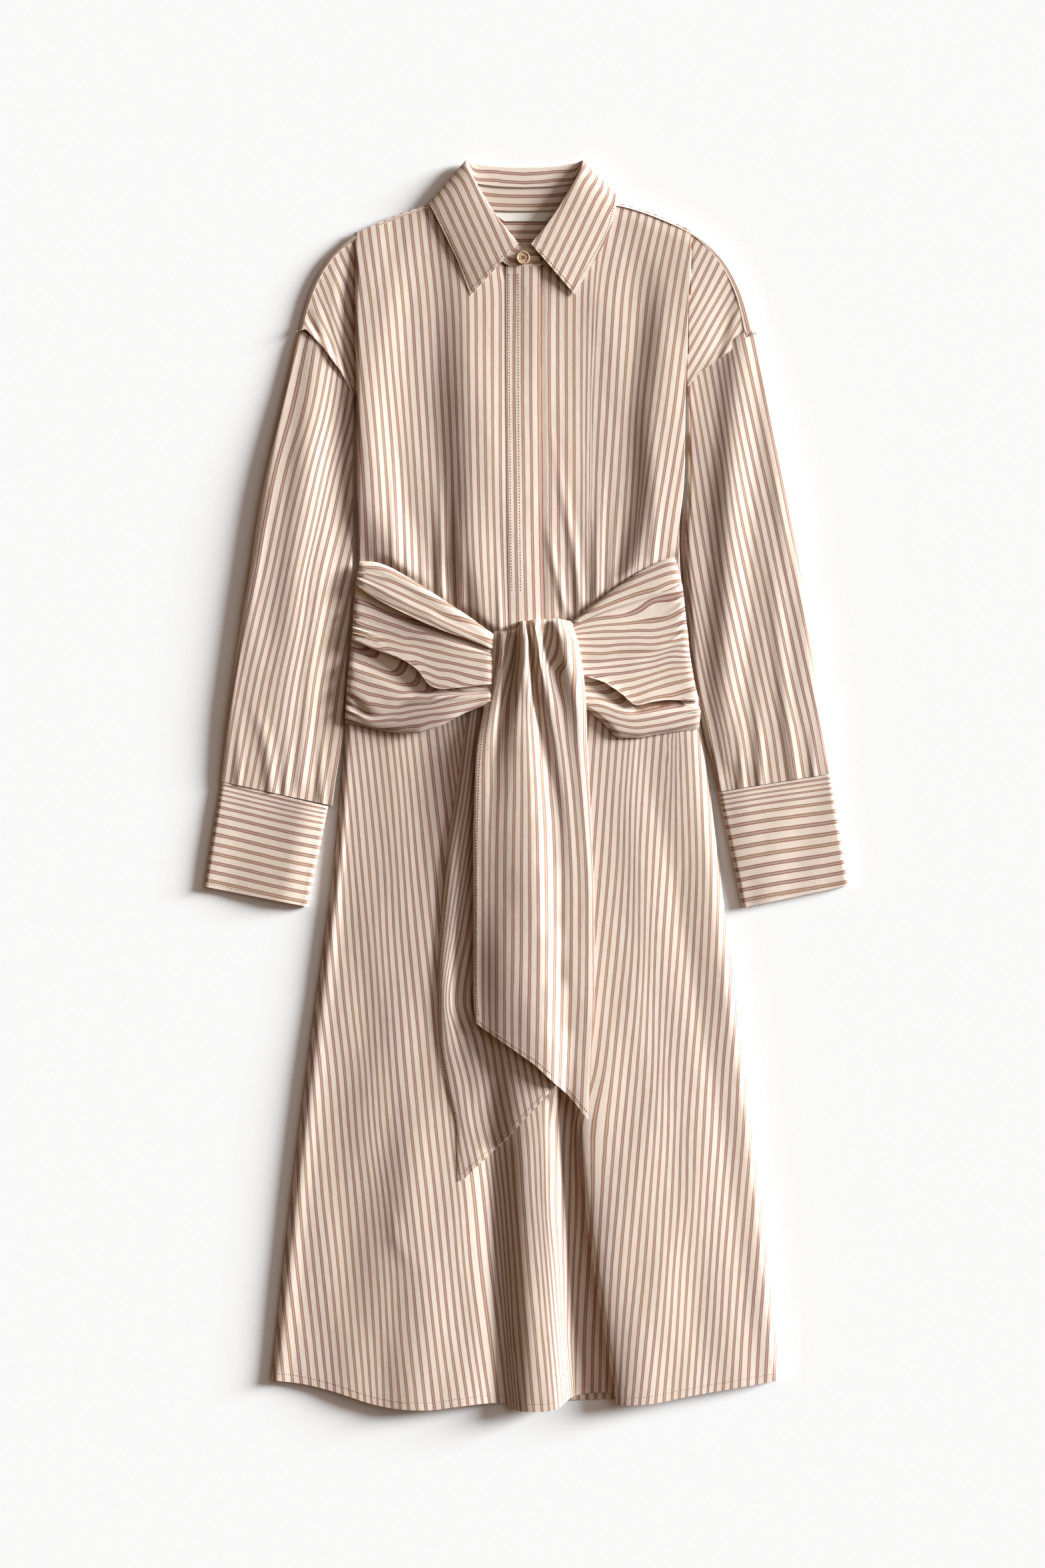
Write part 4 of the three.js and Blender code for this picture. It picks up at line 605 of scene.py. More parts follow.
SLEEVE_RIGHT_STRIPES = {
    "levels": [455.5, 386.2, 330.7, 275.2, 219.8, 164.3, 108.8, 53.4, 11.8],
    "lines": {
        -2: [119.2, 134.5, 146.3, 155.3, 164.3, 174.7, 185.8, 199, 206.6],
        0: [134.5, 149.8, 158.1, 164.9, 172.6, 184.1, 195.8, 208.8, 215.6],
        2: [151.1, 165, 172.5, 180.1, 190, 199.9, 210.4, 224, 230.2],
        4: [166.4, 178.6, 187.7, 196.6, 203.1, 214.9, 227.9, 239.8, 246.1],
        6: [180.3, 192.9, 203.3, 208.7, 219.1, 232.3, 244.5, 256.1, 262.1],
        8: [196.2, 206.6, 213.5, 223.3, 236.4, 248.3, 259.4, 272.9, 279.4],
        10: [208, 217, 228.1, 240.8, 252.4, 264.1, 276.2, 289, 296.7],
        12: [217.3, 233.2, 245.2, 257.3, 269, 281.5, 293.6, 306, 313.4],
        14: [236.6, 250.6, 262, 273.2, 285.6, 298.1, 309.9, 322.4, 330],
    },
}

# %% Stripes of the skirt and the back tail
SKIRT_STRIPES = {
    "levels": [53, -16, -85, -155, -224, -293, -363, -432, -501, -571, -626],
    "lines": {
        0: [-276, -268, -263, -259, -253, -245, -239, -236, -230, -222, -216],
        3: [-254, -246, -241, -237, -231, -223, -218, -212, -204, -197, -192],
        6: [-229, -221, -216, -212, -206, -198, -192, -186, -180, -174, -169],
        9: [-206, -198, -192, -188, -182, -174, -169, -161, -155, -151, -149],
        12: [-185, -178, -172, -165, -160, -156, -151, -142, -135, -131, -125],
        15: [-163, -155, -148, -145, -140, -135, -128, -120, -112, -104, -98],
        18: [-140, -133, -128, -123, -116, -109, -102, -94, -87, -80, -72],
        20: [-127, -120, -114, -106, -98, -92, -85, -77, -71, -63, -55],
        22: [-112, -104, -96, -90, -84, -78, -72, -64, -58, -49, -41],
        24: [-93, -85, -77, -71, -65, -59, -52, -44, -37, -28, -22],
        25: [-86, -77, -70, -64, -57, -51, -45, -37, -30, -23, -18],
        28: [-71, -63, -55, -49, -43, -37, -31, -23, -18, -14, -9],
        30: [-60, -52, -44, -38, -32, -26, -17, -12, -6, 0, 5],
        31: [-51, -43, -36, -29, -23, -17, -8, -3, 2, 9, 14],
        32: [-42, -34, -27, -21, -14, -8, 1, 5, 11, 17, 22],
        34: [-30, -22, -15, -8, -2, 4, 13, 16, 21, 27, 32],
        36: [63, 58, 52, 46, 38, 31, 23, 23, 29, 35, 40],
        39: [87, 82, 77, 71, 63, 55, 47, 45, 43, 42, 47],
        41: [102, 97, 94, 87, 80, 72, 55, 59, 55, 51, 50],
        43: [113, 108, 107, 104, 97, 90, 83, 78, 74, 70, 69],
        45: [125, 120, 117, 117, 114, 107, 100, 94, 88, 85, 84],
        48: [149, 144, 139, 134, 132, 131, 126, 120, 114, 107, 103],
        51: [158, 161, 163, 159, 153, 148, 147, 143, 139, 133, 127],
        54: [179, 182, 184, 182, 178, 172, 167, 166, 160, 156, 152],
        57: [203, 206, 208, 206, 202, 196, 192, 187, 183, 178, 174],
        60: [228, 231, 233, 231, 228, 221, 217, 211, 205, 201, 196],
        63: [253, 256, 258, 256, 253, 246, 242, 236, 230, 224, 221],
    },
}
TIE_BACK_STRIPES = {
    "levels": [81.1, -15.9, -85.3, -154.6, -223.9, -265.5, -307.1, -348.7, -397.3],
    "lines": {
        -3: [-62.4, -75.6, -87.4, -95.7, -97.8, -95, -97.1, -93.6, -84.6],
        -1: [-54.1, -66.6, -79, -87.4, -93.6, -92.2, -89.4, -84.6, -75.6],
        1: [-45.8, -58.2, -69.3, -80.4, -89.4, -89.4, -82.4, -74.7, -65.9],
        4: [-33.3, -43, -56.9, -69.3, -81.1, -70.7, -59.2, -54.4, -43],
        7: [-15.3, -25, -36.1, -47.1, -56.2, -44.4, -37.7, -29.8, -17.3],
        12: [17.3, 10.4, 2.1, -7.6, -16.6, -6.9, 0.7, 9, 22.2],
        16: [43, 38.1, 31.2, 22.2, 13.2, 20.8, 29.8, 38.8, 52.7],
    },
}


# %% [markdown]
# ## Woven stripes
# The cloth is a crisp plain weave. Each stripe is two fine mauve-brown lines with a paler middle, and
# its hue drifts slowly between mauve and ochre along the warp. One node group makes the pattern from
# the UV map for both cotton finishes: it puts out a colour, a roughness and a height for the bump,
# and the shader itself stays in each material.

# %% Node helpers
def add_node(tree, kind, at=(0, 0), **values):
    node = tree.nodes.new(kind)
    node.location = at
    for key, value in values.items():
        setattr(node, key, value)
    return node


def math_node(tree, operation, first, second=None, at=(0, 0), clamp=False):
    node = add_node(tree, "ShaderNodeMath", at, operation=operation, use_clamp=clamp)
    for socket, value in zip(node.inputs, (first, second)):
        if value is None:
            continue
        if isinstance(value, (int, float)):
            socket.default_value = value
        else:
            tree.links.new(value, socket)
    return node.outputs[0]


def smooth_step(tree, value, low, high, to_low=0.0, to_high=1.0):
    node = add_node(tree, "ShaderNodeMapRange", interpolation_type="SMOOTHSTEP")
    node.inputs["From Min"].default_value = low
    node.inputs["From Max"].default_value = high
    node.inputs["To Min"].default_value = to_low
    node.inputs["To Max"].default_value = to_high
    tree.links.new(value, node.inputs["Value"])
    return node.outputs[0]


def mix_colour(tree, share, first, second, blend="MIX"):
    node = add_node(tree, "ShaderNodeMix", data_type="RGBA", blend_type=blend)
    for socket, value in zip((node.inputs[0], node.inputs[6], node.inputs[7]), (share, first, second)):
        if isinstance(value, (int, float)):
            socket.default_value = value
        elif isinstance(value, tuple):
            socket.default_value = value
        else:
            tree.links.new(value, socket)
    return node.outputs[2]


def noise(tree, vector, scale, detail=2.0, roughness=0.5):
    node = add_node(tree, "ShaderNodeTexNoise", noise_dimensions="3D")
    node.inputs["Scale"].default_value = scale
    node.inputs["Detail"].default_value = detail
    node.inputs["Roughness"].default_value = roughness
    tree.links.new(vector, node.inputs["Vector"])
    return node.outputs["Fac"]


def stretched(tree, vector, scale, shift=(0, 0, 0)):
    node = add_node(tree, "ShaderNodeMapping")
    node.inputs["Scale"].default_value = scale
    node.inputs["Location"].default_value = shift
    tree.links.new(vector, node.inputs["Vector"])
    return node.outputs[0]


def srgb(red, green, blue):
    """An 8-bit screen colour as linear light."""
    def linear(v):
        v /= 255
        return v / 12.92 if v <= 0.04045 else ((v + 0.055) / 1.055) ** 2.4
    return (linear(red), linear(green), linear(blue), 1.0)


# %% The woven-stripe group
def woven_stripes_group():
    tree = bpy.data.node_groups.new("woven stripes", "ShaderNodeTree")
    face = tree.interface
    ground = face.new_socket("Ground", in_out="INPUT", socket_type="NodeSocketColor")
    mauve = face.new_socket("Mauve", in_out="INPUT", socket_type="NodeSocketColor")
    ochre = face.new_socket("Ochre", in_out="INPUT", socket_type="NodeSocketColor")
    strength = face.new_socket("Stripe Strength", in_out="INPUT", socket_type="NodeSocketFloat")
    ground.default_value = srgb(221, 203, 188)
    mauve.default_value = srgb(134, 84, 71)
    ochre.default_value = srgb(146, 102, 74)
    strength.default_value = 1.0
    face.new_socket("Color", in_out="OUTPUT", socket_type="NodeSocketColor")
    face.new_socket("Roughness", in_out="OUTPUT", socket_type="NodeSocketFloat")
    face.new_socket("Height", in_out="OUTPUT", socket_type="NodeSocketFloat")
    given = add_node(tree, "NodeGroupInput", (-900, 0))
    out = add_node(tree, "NodeGroupOutput", (900, 0))
    uv = add_node(tree, "ShaderNodeUVMap", (-900, 300), uv_map="cut").outputs[0]
    split = add_node(tree, "ShaderNodeSeparateXYZ", (-700, 300))
    tree.links.new(uv, split.inputs[0])
    number, along = split.outputs[0], split.outputs[1]

    wander = noise(tree, stretched(tree, uv, (1.0, 0.35, 1.0)), 2.2, 1.0)
    shifted = math_node(tree, "ADD", number,
                        math_node(tree, "MULTIPLY", math_node(tree, "SUBTRACT", wander, 0.5), 0.05))
    centre = math_node(tree, "SUBTRACT", math_node(tree, "FRACT", math_node(tree, "ADD", shifted, 0.5)), 0.5)
    off = math_node(tree, "ABSOLUTE", centre)
    band = smooth_step(tree, off, 0.165, 0.215, 1.0, 0.0)
    rails = smooth_step(tree, off, 0.045, 0.105, 0.62, 1.0)
    hue = noise(tree, stretched(tree, uv, (0.21, 0.035, 1.0), (3.1, 7.7, 0)), 1.0, 1.5)
    each = noise(tree, stretched(tree, uv, (1.0, 0.012, 1.0), (0.5, 2.0, 5.0)), 0.9, 0.0)
    drift = smooth_step(tree, math_node(tree, "ADD", math_node(tree, "MULTIPLY", hue, 0.6),
                                        math_node(tree, "MULTIPLY", each, 0.4)), 0.40, 0.60)
    tone = mix_colour(tree, drift, given.outputs["Mauve"], given.outputs["Ochre"])
    share = math_node(tree, "MULTIPLY", math_node(tree, "MULTIPLY", band, rails), given.outputs["Stripe Strength"],
                      clamp=True)
    striped = mix_colour(tree, share, given.outputs["Ground"], tone)

    warp = noise(tree, stretched(tree, uv, (26.0, 1.6, 1.0)), 1.0, 2.0)
    weft = noise(tree, stretched(tree, uv, (1.6, 26.0, 1.0), (4, 1, 0)), 1.0, 2.0)
    yarns = math_node(tree, "ADD", warp, weft)
    shade = smooth_step(tree, yarns, 0.75, 1.25, 0.965, 1.025)
    coloured = mix_colour(tree, 1.0, striped, shade, "MULTIPLY")
    tree.links.new(coloured, out.inputs["Color"])
    tree.links.new(smooth_step(tree, yarns, 0.6, 1.4, 0.86, 0.74), out.inputs["Roughness"])

    rib_across = math_node(tree, "SINE", math_node(tree, "MULTIPLY", number, 2 * math.pi * 22))
    rib_along = math_node(tree, "SINE", math_node(tree, "MULTIPLY", along, 2 * math.pi * 22))
    weave = math_node(tree, "MULTIPLY", math_node(tree, "MULTIPLY", rib_across, rib_along), 0.3)
    slub = math_node(tree, "MULTIPLY", math_node(tree, "SUBTRACT", yarns, 1.0), 1.4)
    soft = noise(tree, stretched(tree, uv, (0.5, 0.3, 1.0), (9, 2, 0)), 1.0, 3.0, 0.55)
    relief = math_node(tree, "ADD", math_node(tree, "ADD", weave, slub), math_node(tree, "MULTIPLY", soft, 9.0))
    tree.links.new(relief, out.inputs["Height"])
    return tree


woven_stripes = woven_stripes_group()
print("woven stripes:", len(woven_stripes.nodes), "nodes")


# %% [markdown]
# ## Cotton, tape and button finishes
# Poplin is matt with a faint sheen where it turns away. The label is a smooth tape with fine ribs, and
# the button is tan resin with a slight gloss and cloudy grain.

# %% Cotton materials
def cotton(name, strength, bump):
    material = bpy.data.materials.new(name)
    material.use_nodes = True
    tree = material.node_tree
    shader = tree.nodes["Principled BSDF"]
    shader.inputs["Sheen Weight"].default_value = 0.12
    shader.inputs["Sheen Roughness"].default_value = 0.5
    shader.inputs["Specular IOR Level"].default_value = 0.25
    group = add_node(tree, "ShaderNodeGroup", (-500, 0), node_tree=woven_stripes)
    group.inputs["Stripe Strength"].default_value = strength
    raised = add_node(tree, "ShaderNodeBump", (-250, -200))
    raised.inputs["Strength"].default_value = bump
    raised.inputs["Distance"].default_value = 0.05 * MM
    tree.links.new(group.outputs["Color"], shader.inputs["Base Color"])
    tree.links.new(group.outputs["Roughness"], shader.inputs["Roughness"])
    tree.links.new(group.outputs["Height"], raised.inputs["Height"])
    tree.links.new(raised.outputs[0], shader.inputs["Normal"])
    return material


finishes["striped_cotton"] = cotton("striped_cotton", 0.92, 1.0)
finishes["sash_cotton"] = cotton("sash_cotton", 0.92, 1.0)
print("cotton finishes made")

# %% Label tape and button
def tape():
    material = bpy.data.materials.new("label_tape")
    material.use_nodes = True
    tree = material.node_tree
    shader = tree.nodes["Principled BSDF"]
    shader.inputs["Sheen Weight"].default_value = 0.2
    place = add_node(tree, "ShaderNodeTexCoord", (-900, 0)).outputs["Object"]
    ribs = add_node(tree, "ShaderNodeTexWave", (-650, 0), wave_type="BANDS", bands_direction="Y")
    ribs.inputs["Scale"].default_value = 620.0
    ribs.inputs["Distortion"].default_value = 0.6
    tree.links.new(place, ribs.inputs["Vector"])
    cloud = noise(tree, place, 90.0, 2.0)
    colour = mix_colour(tree, smooth_step(tree, cloud, 0.3, 0.7), srgb(232, 228, 219), srgb(240, 237, 229))
    tree.links.new(colour, shader.inputs["Base Color"])
    tree.links.new(smooth_step(tree, ribs.outputs["Fac"], 0.0, 1.0, 0.75, 0.6), shader.inputs["Roughness"])
    raised = add_node(tree, "ShaderNodeBump", (-250, -200))
    raised.inputs["Strength"].default_value = 0.5
    raised.inputs["Distance"].default_value = 0.08 * MM
    tree.links.new(ribs.outputs["Fac"], raised.inputs["Height"])
    tree.links.new(raised.outputs[0], shader.inputs["Normal"])
    return material


def resin():
    material = bpy.data.materials.new("button")
    material.use_nodes = True
    tree = material.node_tree
    shader = tree.nodes["Principled BSDF"]
    shader.inputs["Specular IOR Level"].default_value = 0.5
    shader.inputs["Coat Roughness"].default_value = 0.25
    place = add_node(tree, "ShaderNodeTexCoord", (-900, 0)).outputs["Object"]
    cloud = noise(tree, stretched(tree, place, (1.0, 2.2, 1.0)), 260.0, 3.0, 0.6)
    colour = mix_colour(tree, smooth_step(tree, cloud, 0.3, 0.7), srgb(168, 132, 104), srgb(202, 172, 142))
    tree.links.new(colour, shader.inputs["Base Color"])
    tree.links.new(smooth_step(tree, cloud, 0.2, 0.8, 0.32, 0.46), shader.inputs["Roughness"])
    raised = add_node(tree, "ShaderNodeBump", (-250, -200))
    raised.inputs["Strength"].default_value = 0.4
    raised.inputs["Distance"].default_value = 0.05 * MM
    tree.links.new(cloud, raised.inputs["Height"])
    tree.links.new(raised.outputs[0], shader.inputs["Normal"])
    return material


def thread():
    material = bpy.data.materials.new("sewing_thread")
    material.use_nodes = True
    tree = material.node_tree
    shader = tree.nodes["Principled BSDF"]
    shader.inputs["Sheen Weight"].default_value = 0.25
    place = add_node(tree, "ShaderNodeTexCoord", (-900, 0)).outputs["Object"]
    twist = noise(tree, place, 900.0, 2.0)
    tree.links.new(mix_colour(tree, twist, srgb(150, 108, 92), srgb(190, 152, 132)), shader.inputs["Base Color"])
    tree.links.new(smooth_step(tree, twist, 0.3, 0.7, 0.5, 0.7), shader.inputs["Roughness"])
    raised = add_node(tree, "ShaderNodeBump", (-250, -200))
    raised.inputs["Distance"].default_value = 0.05 * MM
    tree.links.new(twist, raised.inputs["Height"])
    tree.links.new(raised.outputs[0], shader.inputs["Normal"])
    return material


finishes["sewing_thread"] = thread()
finishes["label_tape"] = tape()
finishes["button"] = resin()
print("tape, resin and thread made")


# %% [markdown]
# ## The back, which lies on the table
# The back yoke, back bodice and back skirt are single layers that rest on the surface. Only the yoke
# shows, inside the neck and as a strip that rolls over each shoulder. They are plain shells with
# a slight wave, their undersides on the table.

# %% Helper for pieces that lie between two lines
def between(low, high, columns, rows, z, seed=0, wave=0.0):
    """Grid whose columns run from the line low to the line high, each a list of (x, y) points."""
    low, high = np.array(low, float), np.array(high, float)

    def even(line):
        steps = np.concatenate([[0], np.cumsum(np.linalg.norm(np.diff(line, axis=0), axis=1))])
        at = np.linspace(0, steps[-1], columns)
        return np.stack([np.interp(at, steps, line[:, 0]), np.interp(at, steps, line[:, 1])], -1)
    a, b = even(low), even(high)
    t = np.linspace(0, 1, rows)[:, None, None]
    flat = a[None] * (1 - t) + b[None] * t
    x, y = flat[..., 0], flat[..., 1]
    height = np.full_like(x, z) + wave * (0.5 + 0.5 * np.sin(x / 21 + seed) * np.sin(y / 33 + 2 * seed))
    return np.stack([x, y, height], -1)


def facing_up(grid, uv):
    if grid_normals(grid)[..., 2].mean() < 0:
        return grid[::-1], uv[::-1]
    return grid, uv


def plain_uv(grid, turned=False, start=0.0):
    x, y = grid[..., 0] / STRIPE_PITCH + start, grid[..., 1] / STRIPE_PITCH
    return np.stack([y, x] if turned else [x, y], -1)


# %% Back bodice and back skirt
ARMHOLE = {"left": [[-238.4, 467], [-222, 456], [-204, 438], [-191, 416], [-180, 404]],
           "right": [[238.4, 467], [227, 465], [205, 450], [190, 437], [167, 415]]}
back_left = [[-181, 158], [-177, 233], [-177, 372], *ARMHOLE["left"][::-1]]
back_right = [[168, 158], [161, 250], [166, 372], *ARMHOLE["right"][::-1]]
grid = between(back_left, back_right, 60, 50, 1.0, 1, 0.3)
back_bodice = cloth_object("cloth_back_bodice", [shell_arrays(*facing_up(grid, plain_uv(grid)))], "striped_cotton")
skirt_left = [[-266, -619], [-248, -460], [-228, -293], [-205, -127], [-189, 53], [-181, 158]]
skirt_right = [[265, -619], [247, -460], [227, -293], [203, -127], [181, 57], [168, 158]]
grid = between(skirt_left, skirt_right, 90, 60, 1.0, 2, 0.4)
sag = np.interp(grid[..., 0], [-266, -191, -100, 0, 100, 190, 265], [0, -13, -21, -23, -21, -11, 0])
grid[..., 1] += sag * ease((-420 - grid[..., 1]) / 200)
back_skirt = cloth_object("cloth_back_skirt", [shell_arrays(*facing_up(grid, plain_uv(grid)))], "striped_cotton")

# %% Back yoke with its strips over the shoulders
YOKE_SEAM = [[-238, 468], [-120, 479], [0, 483], [120, 479], [238, 468]]
STRIP = {"left": [4] * 9, "right": [3, 3, 3, 4, 7, 8, 8.5, 9.5, 10.5]}


def shoulder_points(side, inset):
    """Points along the shoulder, set in from its edge by inset (a number or one for each point)."""
    line = np.array(SHOULDER, float)
    direction = np.gradient(line, axis=0)
    direction /= np.linalg.norm(direction, axis=1)[:, None]
    inward = np.stack([direction[:, 1], -direction[:, 0]], -1)
    moved = line + inward * np.broadcast_to(np.asarray(inset, float), len(line))[:, None]
    if side == "left":
        moved[:, 0] *= -1
    return moved


def shoulder_strip(side):
    rows = []
    top = np.array([7.0, 7.0, 7.0, 6.9, 6.6, 6.3, 6.1, 5.9, 5.8])
    reach = np.array(STRIP[side], float)
    for turn in np.radians([-90, -55, -20, 15, 50, 90]):
        radius = (top - 0.9) / 2
        inset = 0.4 + np.minimum(radius, 2.4) * (1 - math.cos(turn))
        rows.append(np.column_stack([shoulder_points(side, inset), 0.9 + radius * (1 + math.sin(turn))]))
    rows.insert(0, np.column_stack([shoulder_points(side, 14), np.full(9, 0.9)]))
    rows.append(np.column_stack([shoulder_points(side, reach), top + 0.2]))
    grid = np.array(rows)
    fine = smooth_through(np.arange(9), grid.transpose(1, 0, 2), np.linspace(0, 8, 70)).transpose(1, 0, 2)
    uv = np.stack([np.broadcast_to(np.array([2.6, 1.1, 0.95, 0.8, 0.65, 0.5, 0.36, -0.4])[:, None], fine.shape[:2]),
                   fine[..., 0] / STRIPE_PITCH], -1)
    if np.cross(fine[0, 1] - fine[0, 0], fine[1, 0] - fine[0, 0])[2] < 0:
        fine, uv = fine[:, ::-1], uv[:, ::-1]
    return shell_arrays(fine[:, ::-1], uv[:, ::-1])


top_line = [*shoulder_points("left", 2)[::-1].tolist(), [-70, 604], [-36, 600], [-2, 599], [34, 600], [70, 604],
            *shoulder_points("right", 2).tolist()]
grid = between(YOKE_SEAM, top_line, 90, 24, 1.1, 3, 0.2)
uv = plain_uv(grid, turned=True, start=0.4)
back_yoke = cloth_object("cloth_back_yoke", [shell_arrays(*facing_up(grid, uv)), shoulder_strip("left"),
                                             shoulder_strip("right")], "striped_cotton")
print("yoke strips rolled over the shoulders")


# %% [markdown]
# ## Where the sash covers the front
# The folds of the bodice and the skirt are held down where the sash crosses them, so a cover line is
# read from the sash's own first guide.

# %% Cover line
def guide_points(table, index):
    guide = table["guides"][index]
    at = np.linspace(*guide["ends"], 24)
    return at, smooth_through(table["stations"], guide["y"], at)


left_x, left_y = guide_points(SASH_LEFT, 0)
right_x, right_y = guide_points(SASH_RIGHT, 0)
cover_x = np.concatenate([left_x, right_x])
cover_y = np.concatenate([left_y, right_y])


def above_sash(x, y):
    """1 above the sash, 0 where it covers the front."""
    return ease((y - np.interp(x, cover_x, cover_y) + 3) / 12)


print("sash line at the left side", round(float(cover_y[0]), 1))


# %% [markdown]
# ## Front bodice
# Each front panel folds under along a long vertical edge below the shoulder and lies loose on what is
# under it. The panel is a grid from that edge to the placket, with the edge turned down in a small
# round. The creases and the gathers over the sash are ridges laid along the lines of the photograph.

# %% Creases of the bodice
CREASES = {
    "left": [
        dict(path=[[-141, 345], [-139, 300], [-137, 222]], rise=[0.2, 1.1, 1.0], left=[6, 6], right=[8, 8]),
        dict(path=[[-92, 320], [-89, 260], [-88, 165]], rise=[0.1, 2.4, 3.4], left=[12, 9], right=[9, 8]),
        dict(path=[[-74, 300], [-70, 240], [-68, 165]], rise=[0.1, 1.3, 2.2], left=[7, 6], right=[8, 6]),
        dict(path=[[-108, 270], [-106, 225], [-104, 165]], rise=[0.1, 0.8, 1.8], left=[6, 6], right=[7, 6]),
        dict(path=[[-124, 262], [-122, 165]], rise=[0.1, 1.4], left=[6, 6], right=[6, 6]),
        dict(path=[[-160, 262], [-155, 180]], rise=[0.1, 1.2], left=[7, 6], right=[8, 6]),
        dict(path=[[-30, 240], [-27, 165]], rise=[0.1, 1.4], left=[5, 5], right=[5, 5]),
        dict(path=[[-120, 590], [-135, 520], [-150, 430]], rise=[0.2, 1.2, 0.2], left=[20, 26], right=[24, 26]),
        dict(path=[[-166, 585], [-167, 500], [-162, 300], [-140, 240], [-125, 180]], rise=[0.4, 2.6, 5.0, 5.2, 5.0],
             left=[40, 44], right=[50, 40]),
    ],
    "right": [
        dict(path=[[157, 560], [151, 505], [142, 460], [135, 400], [132, 300], [122, 250], [107, 206], [97, 165]],
             rise=[0.3, 2.6, 4.2, 5.2, 5.6, 5.6, 5.0, 4.0], left=[34, 22], right=[80, 60]),
        dict(path=[[29, 350], [36, 310], [52, 222], [56, 170]], rise=[0.2, 1.0, 1.8, 2.0], left=[6, 6],
             right=[10, 8]),
        dict(path=[[19, 275], [27, 235], [38, 190]], rise=[0.2, 1.2, 1.8], left=[5, 5], right=[8, 6]),
        dict(path=[[78, 330], [74, 250], [73, 165]], rise=[0.1, 1.2, 2.2], left=[8, 7], right=[9, 7]),
        dict(path=[[94, 300], [90, 240], [87, 165]], rise=[0.1, 0.9, 1.8], left=[6, 6], right=[7, 6]),
        dict(path=[[136, 320], [133, 262], [128, 200]], rise=[0.1, 1.0, 1.4], left=[7, 6], right=[8, 6]),
        dict(path=[[60, 575], [72, 500], [80, 420]], rise=[0.2, 1.0, 0.2], left=[20, 26], right=[24, 26]),
    ],
}


MIDDLE = dict(path=[[-56, 560], [-56, 540], [-58, 432], [-55, 323], [-57, 251], [-46, 196], [-38, 160]],
              rise=[0.8, 3.2, 6.4, 6.8, 6.8, 5.0], left=[44, 34], right=[150, 90], fade=14)


def middle_rise(x, y):
    return fold_height(x, y, **MIDDLE) * above_sash(x, y)


def bodice_height(side, x, y):
    height = FRONT_LEVEL - 1.1 * ease((y - panel_top(side, x) + 16) / 16) + middle_rise(x, y)
    folds = sum(fold_height(x, y, **crease) for crease in CREASES[side]) + crumple(x, y, 5, 0.3)
    return height + folds * above_sash(x, y)


# %% The two front panels
def bodice_panel(side):
    inward = 1 if side == "left" else -1
    tight = 1.0 if side == "left" else 0.15
    edge_roll = [(3.2, -6.0), (0.8, -5.4), (0.0, -3.4), (0.35, -2.0), (1.1, -1.0), (2.4, -0.35)]
    share = np.concatenate([[0, 0.004, 0.012, 0.028, 0.05, 0.075, 0.1], np.linspace(0.12, 1, 58)])
    rows = np.linspace(0, 1, 110)
    foot = np.full(len(share), 150.0)
    centre_line = [[px + inward * 4, py] for px, py in PLACKET_EDGE[side]] if side == "left" else \
        [[px - 24, py] for px, py in PLACKET_EDGE[side]]

    def lay(y):
        outer = path_x(FOLD_EDGE[side], y) + inward * 4.0 * tight
        return outer + (path_x(centre_line, y) - outer) * share

    top = np.full(len(share), 560.0)
    for _ in range(8):
        top = panel_top(side, lay(top))
    y = foot + (top - foot) * rows[:, None]
    x = lay(y)
    z = bodice_height(side, x, y)
    if side == "right":
        z -= 1.0 * (1 - ease((x - path_x(PLACKET_EDGE["right"], y) - 1) / 5))
    grid = np.stack([x, y, z], -1)
    low = 1.6 + 1.6 * ease((y[:, 0] - 395) / 20)
    edge = path_x(FOLD_EDGE[side], y[:, 0])
    rolled = []
    for step, drop in edge_roll:
        height = np.maximum(z[:, 0] + drop, low + (0.9 if drop > -5.5 else 0))
        rolled.append(np.stack([edge + inward * step * tight, y[:, 0], height], -1))
    grid = np.concatenate([np.stack(rolled, 1), grid], axis=1)
    field = BODICE_LEFT_STRIPES if side == "left" else BODICE_RIGHT_STRIPES
    uv = down_uv(field, grid)
    if side == "right":
        grid, uv = grid[:, ::-1], uv[:, ::-1]
    return shell_arrays(grid, uv)


